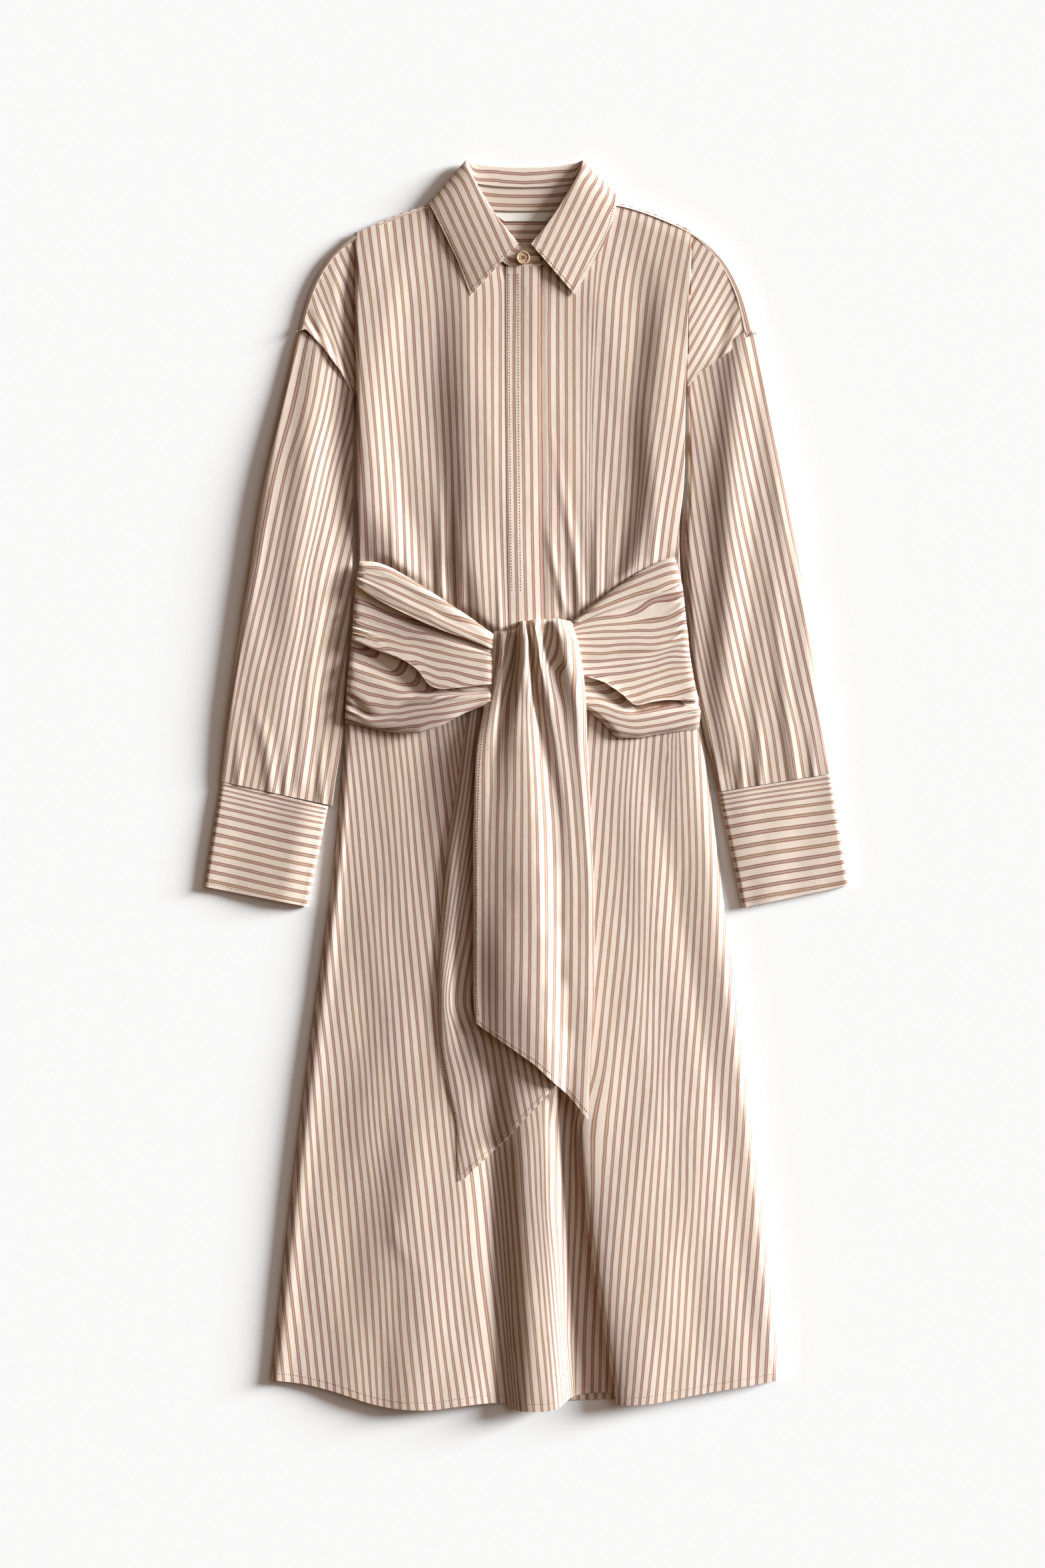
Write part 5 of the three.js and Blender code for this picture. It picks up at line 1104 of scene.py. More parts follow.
def shoulder_piece(side):
    """The front of the dropped shoulder, outside the folded edge."""
    sign = -1 if side == "left" else 1
    start = {"left": -171.0, "right": 162.0}[side]
    drop = np.array(SHOULDER_DROP[side], float)
    high = shoulder_points(side, np.array(STRIP[side]) - 0.6)
    share = np.linspace(0, 1, 44)
    x = start + (sign * 239.2 - start) * share
    order = np.argsort(sign * high[:, 0])
    top = np.interp(sign * x, sign * high[order, 0], high[order, 1])
    low_order = np.argsort(sign * drop[:, 0])
    foot = np.interp(sign * x, sign * drop[low_order, 0], drop[low_order, 1])
    rows = np.linspace(0, 1, 40)[:, None]
    y = foot + (top - foot) * rows
    x = np.broadcast_to(x, y.shape)
    level = 5.7 + 0.9 * ease((y - 480) / 80)
    inner = np.abs(x - path_x(FOLD_EDGE[side], y))
    inner = np.where(np.abs(x) > np.abs(path_x(FOLD_EDGE[side], y)), inner, 0)
    dip = ease((572 - y) / 70) * (1.0 if side == "left" else 0.35)
    z = level - (level - 2.5) * dip * (1 - ease((inner - 3) / 20)) - 0.15 + 0.5 * crumple(x, y, 8,
                                                                                          0.5) * ease(inner / 9)
    z += fold_height(x, y, [[sign * 224, 505], [sign * 213, 470], [sign * 203, 440]], [0.2, 1.2, 1.4], [8, 7],
                     [12, 9])
    z += (2.1 if side == "left" else 1.7) * (1 - ease((y - foot) / 12))
    if side == "right":
        beside = bodice_height(side, np.minimum(x, path_x(FOLD_EDGE[side], y)), y) - 1.3
        z = np.where(inner > 0, z + np.maximum(beside - z, 0) * (1 - ease(inner / 45)), z)
    grid = np.stack([x, y, z], -1)
    field = SHOULDER_STRIPES[side]
    uv = down_uv(field, grid)
    if side == "left":
        grid, uv = grid[:, ::-1], uv[:, ::-1]
    shoulder_grids[side] = grid
    return shell_arrays(grid, uv)


shoulder_grids = {}
SHOULDER_STRIPES = {
    "left": {"levels": [538.7, 517.9, 490.1, 462.4, 434.7], "lines": {
        1: [-242, -235, -226.7, -212.2, -203.1], 2: [-232.3, -225.3, -217, -203.5, -195.6],
        3: [-227.4, -220.5, -208, -198.5, -188.6], 4: [-220.5, -212.9, -202.4, -192, -182.3],
        5: [-214.2, -204.8, -196.2, -184.4, -174.7]}},
    "right": {"levels": [538.7, 511, 483.2, 455.5, 427.8], "lines": {
        0: [197.8, 184.4, 169.9, 154.6, 138.7], 1: [208.7, 193.6, 177.8, 162.2, 146.3],
        2: [217.7, 202.4, 186.5, 171.2, 155.3], 5: [244.7, 229.5, 213.5, 198.3, 182.3]}},
}
bodice_left = cloth_object("cloth_bodice_left", [bodice_panel("left"), shoulder_piece("left")], "striped_cotton")
bodice_right = cloth_object("cloth_bodice_right", [bodice_panel("right"), shoulder_piece("right")], "striped_cotton")


# %% [markdown]
# ## Placket
# The front closes under a folded strip with its stripes running down it. Its left edge is sewn to the
# panel and its right edge lies free over the other front, so it stands a cloth's thickness higher.

# %% Placket strip
rows, columns = np.linspace(539, 150, 90), np.array([0, 0.02, 0.06, 0.12, 0.25, 0.4, 0.55, 0.7, 0.85, 0.94, 0.98, 1])
y = np.broadcast_to(rows[:, None], (90, 12))
left_edge, right_edge = path_x(PLACKET_EDGE["left"], y), path_x(PLACKET_EDGE["right"], y)
x = left_edge + (right_edge - left_edge) * columns
z = middle_rise(x, y) + 7.9 + 1.0 * ease(columns / 0.9) + crumple(x, y, 5,
                                                                  0.3) + 0.3 * np.sin(math.pi * columns) - 0.3 * (columns > 0.99)
for pull in ([[-14, 540], [2, 512]], [[-2, 541], [12, 520]], [[4, 300], [9, 240]]):
    z += fold_height(x, y, pull, [0.7, 0.2], [3, 3], [4, 4], 8)
grid = np.stack([x, y, z], -1)
placket_grid = grid
placket_cloth = cloth_object("cloth_placket", [shell_arrays(*facing_up(grid, down_uv(PLACKET_STRIPES, grid)), 1.0)],
                             "striped_cotton")


# %% [markdown]
# ## Surfaces through guides
# The sash, the tails and the skirt are made the same way: every guide is evaluated along its length,
# and a smooth curve across the guides gives the rest. Where a guide lies back under its neighbour the
# surface overhangs, as a real fold does.

# %% Loft through guides
def loft(table, along, spacing):
    guides = []
    held = "y" if "y" in table["guides"][0] else "x"
    for guide in table["guides"]:
        at = np.linspace(*guide["ends"], along)
        line = smooth_through(table["stations"], guide[held], at)
        place = (at, line) if held == "y" else (line, at)
        more = [smooth_through(table["stations"], guide[key], at) for key in ("z", "u") if key in guide]
        guides.append(np.stack([*place, *more], -1))
    guides = np.array(guides)
    gaps = np.linalg.norm(np.diff(guides[..., :3], axis=0), axis=2).mean(1)
    knots = np.concatenate([[0], np.cumsum(gaps)])
    at = [knots[0]]
    for low, high in zip(knots[:-1], knots[1:]):
        at.extend(np.linspace(low, high, max(2, int(math.ceil((high - low) / spacing))) + 1)[1:])
    return smooth_through(knots, guides, np.array(at))


def hem_y(x):
    line = np.array(HEM, float)
    return smooth_through(line[:, 0], line[:, 1], x)


# %% Front skirt
surface = loft(SKIRT, 120, 5.0).transpose(1, 0, 2)
end = hem_y(surface[-1, :, 0])
top = surface[0, 0, 1]
surface[..., 1] = top + (surface[..., 1] - top) * (top - end) / (top - SKIRT["guides"][0]["ends"][1])
x, y = surface[..., 0], surface[..., 1]
loose = ease((surface[..., 2] - 3.5) / 3) * ease((110 - y) / 60)
surface[..., 2] += crumple(x, y, 12, 0.45) * loose
surface[..., 2] += loose * fold_height(x, y, [[-140, -440], [-125, -490], [-108, -505]], [0.2, 1.2, 0.2], [8, 8],
                                       [8, 8])
skirt_uv = down_uv(SKIRT_STRIPES, surface)
skirt_grid, skirt_uv = facing_up(surface, skirt_uv)
front_skirt = cloth_object("cloth_front_skirt", [shell_arrays(skirt_grid, skirt_uv)], "striped_cotton")


# %% [markdown]
# ## Relief of what lies below
# The tails lie over the skirt's folds, so they have to rise where the skirt does. A map of the highest
# point in each small cell, spread a little and smoothed, is the bed that they lie on.

# %% Bed under the tails
class Bed:
    def __init__(self, grids, low=(-130, -440), high=(110, 110), cell=4.0, spread=2):
        self.low, self.cell = np.array(low, float), cell
        size = ((np.array(high) - self.low) / cell).astype(int) + 1
        heights = np.zeros(size)
        for grid in grids:
            for shift in (0, 0.5):
                points = (grid[:-1, :-1] * (1 - shift) + grid[1:, 1:] * shift).reshape(-1, 3)
                place = np.round((points[:, :2] - self.low) / cell).astype(int)
                keep = ((place >= 0) & (place < size)).all(1)
                np.maximum.at(heights, tuple(place[keep].T), points[keep, 2])
        for _ in range(spread):
            padded = np.pad(heights, 1, mode="edge")
            heights = np.max([padded[i:i + size[0], j:j + size[1]] for i in range(3) for j in range(3)], axis=0)
        for _ in range(3):
            padded = np.pad(heights, 1, mode="edge")
            heights = np.mean([padded[i:i + size[0], j:j + size[1]] for i in range(3) for j in range(3)], axis=0)
        self.heights = heights

    def at(self, x, y):
        place = (np.stack([x, y], -1) - self.low) / self.cell
        limit = np.array(self.heights.shape) - 1.001
        place = np.clip(place, 0, limit)
        i, j = place[..., 0].astype(int), place[..., 1].astype(int)
        s, t = place[..., 0] - i, place[..., 1] - j
        h = self.heights
        return (h[i, j] * (1 - s) * (1 - t) + h[i + 1, j] * s * (1 - t) + h[i, j + 1] * (1 - s) * t
                + h[i + 1, j + 1] * s * t)


def lie_over(grid, bed, gap, plain):
    """Lift a grid so that its plain level stays a gap above the bed."""
    need = bed.at(grid[..., 0], grid[..., 1]) + gap - plain
    lift = (need + np.sqrt(need ** 2 + 1.0)) / 2
    grid[..., 2] += lift * ease((95 - grid[..., 1]) / 60)
    return grid


# %% Back tail
surface = loft(TIE_BACK, 90, 4.5)
surface[..., 2] += 6.0 * np.linspace(-0.4, 1, len(surface))[:, None]
surface = lie_over(surface, Bed([skirt_grid]), 2.0, 10.4)
surface[..., 2] += crumple(surface[..., 0], surface[..., 1], 21, 0.3)
uv = down_uv(TIE_BACK_STRIPES, surface)
back_tail_grid, uv = facing_up(surface, uv)
back_tail = cloth_object("cloth_tie_back", [shell_arrays(back_tail_grid, uv)], "sash_cotton")


# %% [markdown]
# ## Sash
# The sash is gathered into both side seams, where short ridges fade out over a few centimetres, and
# runs in folds to the knot, where it dives under the tail.

# %% Both halves of the sash
def sash_half(table, side):
    grid = loft(table, 70, 3.0)
    points, number = grid[..., :3].copy(), grid[..., 3]
    steps = np.linalg.norm(np.diff(points, axis=0), axis=2).mean(1)
    across = np.concatenate([[0], np.cumsum(steps)])[:, None]
    side_x, knot_x = (points[:, :1, 0], points[:, -1:, 0]) if side == "left" else (points[:, -1:, 0],
                                                                                   points[:, :1, 0])
    from_side = np.abs(points[..., 0] - side_x)
    from_knot = np.abs(points[..., 0] - knot_x)
    ruche = 1.1 * np.cos(2 * math.pi * across / 8.3 + 0.6 * np.sin(across / 13)) * np.exp(-from_side / 20)
    ridged = ease(across / 6) * ease((across[-1] - across) / 6)
    points[..., 2] += ruche * ridged - 2.2 * np.exp(-from_side / 2.5) * ridged
    points[..., 2] -= (points[..., 2] - 11.4) * 0.45 * (1 - ease(from_knot / 16))
    points[..., 2] += crumple(points[..., 0] * 0.6, points[..., 1] * 2, 31, 0.25)
    points[..., 2] += (10.0 if side == "left" else 3.0) * ease(from_side / 130) * (0.25 + 0.75 * ease(from_knot / 10))
    uv = np.stack([number, points[..., 0] / STRIPE_PITCH], -1)
    return facing_up(points, uv)


sash_left_grid, uv = sash_half(SASH_LEFT, "left")
sash_left = cloth_object("cloth_sash_left", [shell_arrays(sash_left_grid, uv)], "sash_cotton")
sash_right_grid, uv = sash_half(SASH_RIGHT, "right")
sash_right = cloth_object("cloth_sash_right", [shell_arrays(sash_right_grid, uv)], "sash_cotton")


# %% [markdown]
# ## Front tail and knot
# The front tail comes up out of the knot, turns over and falls over it in deep folds that open out to
# the slanting hem. Its upper end is rolled down behind, so the knot has a round top.

# %% Front tail
surface = loft(TIE_FRONT, 120, 3.0)
grid, number = surface[..., :3].copy(), surface[..., 3]
grid = lie_over(grid, Bed([skirt_grid, back_tail_grid]), 1.6, 13.2)
grid[..., 2] += 4.5
grid[..., 2] += crumple(grid[..., 0], grid[..., 1], 41, 0.3) * ease((120 - grid[..., 1]) / 60)
first = grid[:, 0]
height = np.maximum(first[:, 2] - 12.5, 0.4)
rolled, radius = [], 6.0
for turn in np.radians([100, 80, 60, 40, 20]):
    back = first.copy()
    back[:, 1] += np.minimum(radius, height) * math.sin(turn) * 0.8
    back[:, 2] -= height * (1 - math.cos(turn))
    rolled.append(back)
grid = np.concatenate([np.stack(rolled, 1), grid], axis=1)
number = np.concatenate([np.repeat(number[:, :1], 5, 1), number], axis=1)
uv = np.stack([number, grid[..., 1] / STRIPE_PITCH], -1)
front_tail_grid, uv = facing_up(grid, uv)
front_tail = cloth_object("cloth_tie_front", [shell_arrays(front_tail_grid, uv)], "sash_cotton")


# %% [markdown]
# ## Sleeves and cuffs
# A sleeve is a tube that lies flat. Its section is built ring by ring from the two edges that the
# photograph shows: a level underside on the table, rounded sides, and a top that carries the creases.
# The stripes follow the traced lines on top and go on round the outer edge to the underside.

# %% Tube between two edges
SLEEVE_RINGS = {
    "left": [[[-236.5, 474], [-177, 410], 7], [[-239.5, 466.5], [-179, 403], 7], [[-251, 416], [-181, 358], 5],
             [[-265, 355], [-181, 306], 2],
             [[-277, 296], [-181, 254], 0], [[-288, 227], [-183, 192], 0], [[-300, 150], [-188, 123], 0],
             [[-310, 82], [-191, 57], 0], [[-315.5, 33], [-199, 3], 0], [[-319, 3.6], [-202, -22], 0]],
    "right": [[[236, 474], [166, 420], 7], [[239, 467], [168.4, 413.4], 7], [[250, 414], [169, 365], 5],
              [[261, 355], [168, 306], 2],
              [[272, 300], [165, 251], 0], [[285, 227], [168, 192], 0], [[296, 150], [173, 123], 0],
              [[305, 81], [184, 57], 0], [[312, 36], [193, 26], 0], [[317, 11.6], [199.5, -7.4], 0]],
}
SLEEVE_HEIGHT = [4.6, 5.7, 7.3, 9.2, 9.9, 9.9, 9.6, 9.2, 8.2, 6.9]
SLEEVE_CREASES = {
    "left": [
        dict(path=[[-217, 468], [-231, 323], [-243, 210], [-252, 90]], rise=[1.6, 2.6, 2.0, 0.6], left=[20, 24],
             right=[26, 30]),
        dict(path=[[-262, 340], [-281, 227], [-291, 150]], rise=[0.3, 1.5, 0.3], left=[4, 4], right=[7, 7]),
        dict(path=[[-205, 300], [-216, 200], [-226, 90], [-234, 10]], rise=[0.3, 1.3, 1.6, 1.6], left=[14, 10],
             right=[16, 12]),
        dict(path=[[-282, 80], [-271, 45], [-266, -5]], rise=[0.3, 1.6, 1.8], left=[13, 8], right=[10, 8]),
        dict(path=[[-298, 60], [-300, 10]], rise=[0.3, 1.5], left=[6, 5], right=[6, 5]),
        dict(path=[[-214, 60], [-213, -10]], rise=[0.4, 1.8], left=[6, 6], right=[6, 5]),
        dict(path=[[-247, 55], [-250, -5]], rise=[0.3, 1.5], left=[6, 5], right=[6, 5]),
    ],
    "right": [
        dict(path=[[225, 468], [217, 380], [211, 287], [209, 190], [207, 106], [214, 30]],
             rise=[1.6, 4.0, 5.0, 4.6, 3.6, 1.6], left=[24, 22], right=[30, 24]),
        dict(path=[[246, 400], [262, 300], [276, 200]], rise=[0.2, 1.2, 0.3], left=[12, 10], right=[8, 8]),
        dict(path=[[254, 250], [262, 160], [272, 60], [280, 5]], rise=[0.2, 1.3, 1.6, 1.6], left=[14, 9],
             right=[14, 9]),
        dict(path=[[238, 90], [242, 45], [244, 2]], rise=[0.2, 1.2, 1.8], left=[8, 6], right=[8, 6]),
        dict(path=[[296, 60], [300, 8]], rise=[0.2, 1.5], left=[6, 5], right=[6, 5]),
        dict(path=[[222, 60], [224, -2]], rise=[0.3, 1.6], left=[6, 5], right=[6, 5]),
    ],
}


def bowed(outer, inner, bow, shares):
    outer, inner = np.array(outer), np.array(inner)
    side = 1 if inner[0] > outer[0] else -1
    along = inner - outer
    normal = np.array([-side * along[1], side * along[0]]) / np.linalg.norm(along)
    return outer + along * shares[:, None] + normal * (4 * bow * shares * (1 - shares))[:, None]


def flat_tube(rings, heights, rows, creases, seed, roundness=0.5, lean=0.0, tilt=0.0):
    steps = np.linspace(0, len(rings) - 1, rows)
    order = np.arange(len(rings))
    outer = smooth_through(order, [r[0] for r in rings], steps)
    inner = smooth_through(order, [r[1] for r in rings], steps)
    bow = smooth_through(order, [float(r[2]) for r in rings], steps)
    tall = smooth_through(order, heights, steps)
    turn = np.linspace(0, math.pi, 15)
    ends = (1 - np.cos(turn[:8])) / 2
    shares = np.concatenate([ends[:-1] * 0.16, np.linspace(0.08, 0.92, 34), 1 - ends[-2::-1] * 0.16])
    rings_out = []
    for o, i, b, h in zip(outer, inner, bow, tall):
        width = float(np.linalg.norm(i - o))
        line = bowed(o, i, b, shares)
        from_edge = np.minimum(shares, 1 - shares) * width
        reach = h * roundness
        lift = np.sqrt(np.clip(1 - (1 - np.minimum(from_edge / reach, 1)) ** 2, 0, 1))
        middle, level = h * 0.5, h * 0.5 - 0.5
        top = middle + (h - middle) * lift * (1 - lean * ease((shares - 0.45) / 0.42))
        x, y = line[:, 0], line[:, 1]
        folds = sum(fold_height(x, y, **crease) for crease in creases) + crumple(x, y, seed, 0.35)
        top = top + folds * lift * ease(from_edge / 14) + tilt * lift * ease(from_edge / 30) * (shares - 0.3)
        under = middle - level * lift + np.abs(crumple(x, y, seed + 1, 0.8)) * lift * ease(from_edge / 20)
        upper = np.column_stack([line, top])
        lower = np.column_stack([line, under])[1:-1][::-1]
        rings_out.append(np.concatenate([upper, lower]))
    return np.array(rings_out), len(shares)


def tube_out(grid):
    """Columns turned so that a tube's outer side faces out."""
    centre = grid.mean(axis=1, keepdims=True)
    facing = (grid_normals(grid, True) * (grid - centre)).sum(2).mean()
    return facing > 0


def sleeve(side):
    grid, upper = flat_tube(SLEEVE_RINGS[side], SLEEVE_HEIGHT, 110, SLEEVE_CREASES[side],
                            50 if side == "left" else 60,
                            lean=0.8 if side == "left" else 0.1)
    field = SLEEVE_LEFT_STRIPES if side == "left" else SLEEVE_RIGHT_STRIPES
    number = stripe_number(field, grid[..., 0], grid[..., 1])
    edge = number[:, :1]
    number[:, upper:] = 2 * edge - number[:, upper:]
    uv = np.stack([number, grid[..., 1] / STRIPE_PITCH], -1)
    if not tube_out(grid):
        grid, uv = grid[:, ::-1], uv[:, ::-1]
    return cloth_object(f"cloth_sleeve_{side}", [shell_arrays(grid, uv, POPLIN, True)], "striped_cotton")


sleeve_left, sleeve_right = sleeve("left"), sleeve("right")

# %% Cuffs
CUFF_RINGS = {
    "left": [[[-318, 3.2], [-206.6, -22.6], 0], [[-322, -22], [-211, -45], 0], [[-329, -64], [-219.5, -86], 0],
             [[-335.6, -106], [-228, -127], 0]],
    "right": [[[317.2, 11.2], [200.2, -8], 0], [[321, -14], [205, -33], 0], [[328.5, -60], [215.5, -81], 0],
              [[335.6, -105], [225.2, -128], 0]],
}
CUFF_FIRST = {"left": 0.35, "right": 0.3}


def cuff(side):
    grid, upper = flat_tube(CUFF_RINGS[side], [6.4, 6.8, 6.8, 6.2], 44, [], 70, 0.55,
                            tilt=5.0 if side == "left" else 2.0)
    down = np.linspace(0, 110 / 8.3, 44)[:, None] + CUFF_FIRST[side]
    number = np.broadcast_to(down, grid.shape[:2]) + 0.12 * np.sin(grid[..., 0] / 30)
    uv = np.stack([number, grid[..., 0] / STRIPE_PITCH], -1)
    cuff_tops[side] = grid[:, 3:upper - 3].copy()
    if not tube_out(grid):
        grid, uv = grid[:, ::-1], uv[:, ::-1]
    return cloth_object(f"cloth_cuff_{side}", [shell_arrays(grid, uv, 1.0, True)], "striped_cotton")


cuff_tops = {}
cuff_left, cuff_right = cuff("left"), cuff("right")


# %% [markdown]
# ## Collar, stand, label and button
# The collar stands up from the neck seam, rolls over and falls in two pointed leaves. The stand is the
# band below it, and its tab crosses the neck under the button. Rows of points go round the neck.

# %% Collar and its stand
COLLAR_ROWS = [
    # seam to the stand, roll line, free edge, and which way the outer layer faces
    [[-2, 622, 4.4], [-2, 643, 3.2], [-2, 602, 0.8], 0], [[-28, 623, 4.4], [-30, 644, 3.2], [-30, 602, 0.8], 0],
    [[-52, 626, 4.8], [-54, 647, 3.6], [-62, 607, 0.9], 15], [[-58, 629, 6], [-61, 649.5, 5.6], [-88, 608, 3.4], 60],
    [[-59, 629, 8], [-62, 648.5, 8], [-101, 604.5, 8.6], 110], [[-56, 623, 10.2], [-59, 638, 11.2],
                                                                [-95.9, 594, 10.4], 160],
    [[-48, 611, 10.6], [-51, 623, 12.6], [-86.6, 575, 10.6], 180], [[-36, 590, 11], [-37, 600, 12.8],
                                                                    [-78.2, 558, 10.6], 180],
    [[-22, 572, 11.6], [-23, 580, 13.2], [-69.8, 540, 10.6], 180], [[-12, 558, 12], [-8.2, 562, 13.4],
                                                                    [-58.3, 508.3, 10.4], 180],
]
STAND_ROWS = [
    [[12, 557, 10], [15, 538, 9.6]], [[-4, 558.5, 10], [-4, 537.5, 9.6]], [[-16, 567, 9.6], [-21, 541, 9.2]],
    [[-28, 585, 8.8], [-36, 556, 8.4]], [[-43, 604, 8.4], [-52, 577, 7.9]], [[-54, 619, 7.8], [-65, 600, 7.6]],
    [[-60, 626, 6], [-72, 607, 5.6]], [[-52, 623, 4.3], [-58, 602, 2.5]], [[-31, 620, 4], [-31, 598.5, 2.2]],
    [[-2, 619, 3.9], [-2, 597.6, 2.2]], [[27, 620, 4], [27, 598.5, 2.2]], [[48, 623, 4.3], [54, 602, 2.5]],
    [[56, 626, 6], [68, 607, 5.6]], [[50, 619, 7.6], [61, 600, 7.6]], [[39, 604, 8], [48, 577, 7.6]],
    [[26, 586, 8], [35, 556, 7.4]], [[12, 568, 7.8], [20, 541, 7.3]], [[-2, 559.5, 7.6], [-2, 539.5, 7.3]],
]
RIGHT_LEAF = [[94.5, 609], [91.8, 594], [86, 573.5], [77.5, 556], [68, 540], [50, 509.3]]
NECK_CENTRE_X = -2.0
COLLAR_ROLL = 1.4


def collar_side(side):
    steps = np.linspace(0, 9, 80)
    order = np.arange(10)
    seam, roll, edge = (smooth_through(order, [r[k] for r in COLLAR_ROWS], steps) for k in range(3))
    facing = np.radians(smooth_through(order, [float(r[3]) for r in COLLAR_ROWS], steps))
    if side == "right":
        for line in (seam, roll, edge):
            line[:, 0] = 2 * NECK_CENTRE_X - line[:, 0]
        leaf = smooth_through(order[4:], RIGHT_LEAF, steps)
        edge[:, :2] += (leaf - edge[:, :2]) * ease(steps - 3)[:, None]
    towards = roll - edge
    towards[:, 2] = 0
    towards /= np.linalg.norm(towards, axis=1)[:, None]
    hand = 1 if side == "left" else -1
    outward = np.stack([-towards[:, 1] * hand * np.sin(facing), towards[:, 0] * hand * np.sin(facing),
                        -np.cos(facing)], -1)
    columns = [seam, seam * 0.5 + 0.5 * (roll - COLLAR_ROLL * (outward + towards))]
    for turn in np.radians(np.linspace(-90, 90, 9)):
        columns.append(roll + COLLAR_ROLL * (outward * math.sin(turn) + towards * (math.cos(turn) - 1)))
    outer = roll + COLLAR_ROLL * (outward - towards)
    for share in np.concatenate([np.linspace(0.08, 0.92, 12), [0.96, 1.0]]):
        line = outer * (1 - share) + edge * share
        puff = 0.9 * math.sin(math.pi * share) * np.sin(facing / 2) ** 2
        columns.append(line + np.stack([0 * puff, 0 * puff, puff], -1))
    grid = np.stack(columns, 1)
    back = np.linalg.norm(np.diff(grid[:, ::-1], axis=1), axis=2)
    number = np.concatenate([np.zeros((len(grid), 1)), np.cumsum(back, axis=1)], axis=1)[:, ::-1]
    along = edge[-1, :2] - edge[40, :2]
    off = np.abs(np.cross(np.append(along, 0) / np.linalg.norm(along), grid - edge[-1])[..., 2])
    leaf = slice(11, None)
    share = ease((steps - 3.5) / 2)[:, None]
    gain = share * (off[:, leaf] - number[:, leaf])
    number[:, leaf] += gain
    number[:, :11] += gain[:, :1]
    return grid, number / STRIPE_PITCH + 0.45


def collar_shell():
    left, left_number = collar_side("left")
    right, right_number = collar_side("right")
    grid = np.concatenate([left[::-1], right[1:]])
    number = np.concatenate([left_number[::-1], right_number[1:]])
    walk = np.concatenate([[0], np.cumsum(np.linalg.norm(np.diff(grid[:, -1], axis=0), axis=1))])
    uv = np.stack([number, np.broadcast_to(walk[:, None] / STRIPE_PITCH, number.shape)], -1)
    leaf = grid_normals(grid)[:20, -6:, 2].mean()
    if leaf < 0:
        grid, uv = grid[::-1], uv[::-1]
    return grid, uv


collar_grid, uv = collar_shell()
collar = cloth_object("cloth_collar", [shell_arrays(collar_grid, uv, 1.0)], "striped_cotton")

rows = smooth_through(np.arange(18), np.array(STAND_ROWS, float), np.linspace(0, 17, 130))
share = np.linspace(0, 1, 7)[None, :, None]
stand_grid = rows[:, :1] * (1 - share) + rows[:, 1:] * share
walk = np.concatenate([[0], np.cumsum(np.linalg.norm(np.diff(stand_grid[:, 0], axis=0), axis=1))])
uv = np.stack([np.broadcast_to(share[..., 0] * 2.3 + 0.3, stand_grid.shape[:2]),
               np.broadcast_to(walk[:, None] / STRIPE_PITCH, stand_grid.shape[:2])], -1)
if grid_normals(stand_grid)[:10, :, 2].mean() < 0:
    stand_grid, uv = stand_grid[:, ::-1], uv[:, ::-1]
stand = cloth_object("cloth_collar_stand", [shell_arrays(stand_grid, uv, 0.9)], "striped_cotton")

# %% Neck label
grid = between([[-35, 595.5], [30, 595.5]], [[-23, 587], [19, 587]], 40, 10, 2.5, 4, 0.15)
uv = plain_uv(grid)
neck_label = cloth_object("cloth_neck_label", [shell_arrays(*facing_up(grid, uv), 0.5)], "label_tape")


# %% [markdown]
# ## Stitches
# Hems, collar, cuffs and seams are topstitched. Each stitch line follows a row of its own piece, so it
# lies on the cloth. One Geometry Nodes tree lays an oblong stitch of thread along each line at an even
# pitch, with a slight unevenness in its length.

# %% Lines that lie on the cloth
def line_on(grid, row, low=0, high=None, lift=0.15):
    """Points along a row of a grid, a fraction allowed, lifted off the cloth's upper side."""
    row = len(grid) - 1 + row if row < 0 else row
    first = min(int(row), len(grid) - 2)
    line = grid[first] + (grid[first + 1] - grid[first]) * (row - first)
    normal = grid_normals(grid)[int(round(row))]
    normal = normal * np.sign(normal[:, 2:] + 1e-6)
    return (line + normal * lift)[low:high]


def turned(grid):
    return grid.transpose(1, 0, 2)


def end_row(grid, axis, low, inside):
    """Row index that lies inside mm from the grid's end with the lowest or highest value on an axis."""
    first = grid[0, :, axis].mean() < grid[-1, :, axis].mean()
    at_start = first == low
    step = np.linalg.norm(grid[0] - grid[1] if at_start else grid[-1] - grid[-2], axis=1).mean()
    return inside / step if at_start else -inside / step


stitch_lines = [line_on(skirt_grid, end_row(skirt_grid, 1, True, 8)),
                line_on(turned(placket_grid), end_row(turned(placket_grid), 0, True, 2), 2, -12),
                line_on(turned(placket_grid), end_row(turned(placket_grid), 0, False, 5), 2, -12)]
for tail, low, high in ((turned(front_tail_grid), 0, None), (turned(back_tail_grid), 0, None)):
    stitch_lines.append(line_on(tail, end_row(tail, 1, True, 6), 2, -2))
stitch_lines.append(line_on(front_tail_grid, end_row(front_tail_grid, 0, True, 5), 12, -4))
stitch_lines.append(line_on(back_tail_grid, end_row(back_tail_grid, 0, True, 5), 4, -4))
for side in ("left", "right"):
    stitch_lines.append(line_on(cuff_tops[side], end_row(cuff_tops[side], 1, False, 2.5)))
    stitch_lines.append(line_on(cuff_tops[side], end_row(cuff_tops[side], 1, True, 4)))
    stitch_lines.append(line_on(shoulder_grids[side], 0.35, 9, None) if side == "right" else
                        line_on(shoulder_grids[side], 0.35, 0, -9))
leaf_edge = turned(collar_grid)
stitch_lines.append(line_on(leaf_edge, end_row(leaf_edge, 1, True, 3), 1, 52))
stitch_lines.append(line_on(leaf_edge, end_row(leaf_edge, 1, True, 3), -52, -1))
for row in (1.0, len(collar_grid) - 2.0):
    stitch_lines.append(line_on(collar_grid, row, 12, -2))
stitch_lines.append(line_on(turned(stand_grid), 0.8, 2, -2))
print(len(stitch_lines), "stitch lines")


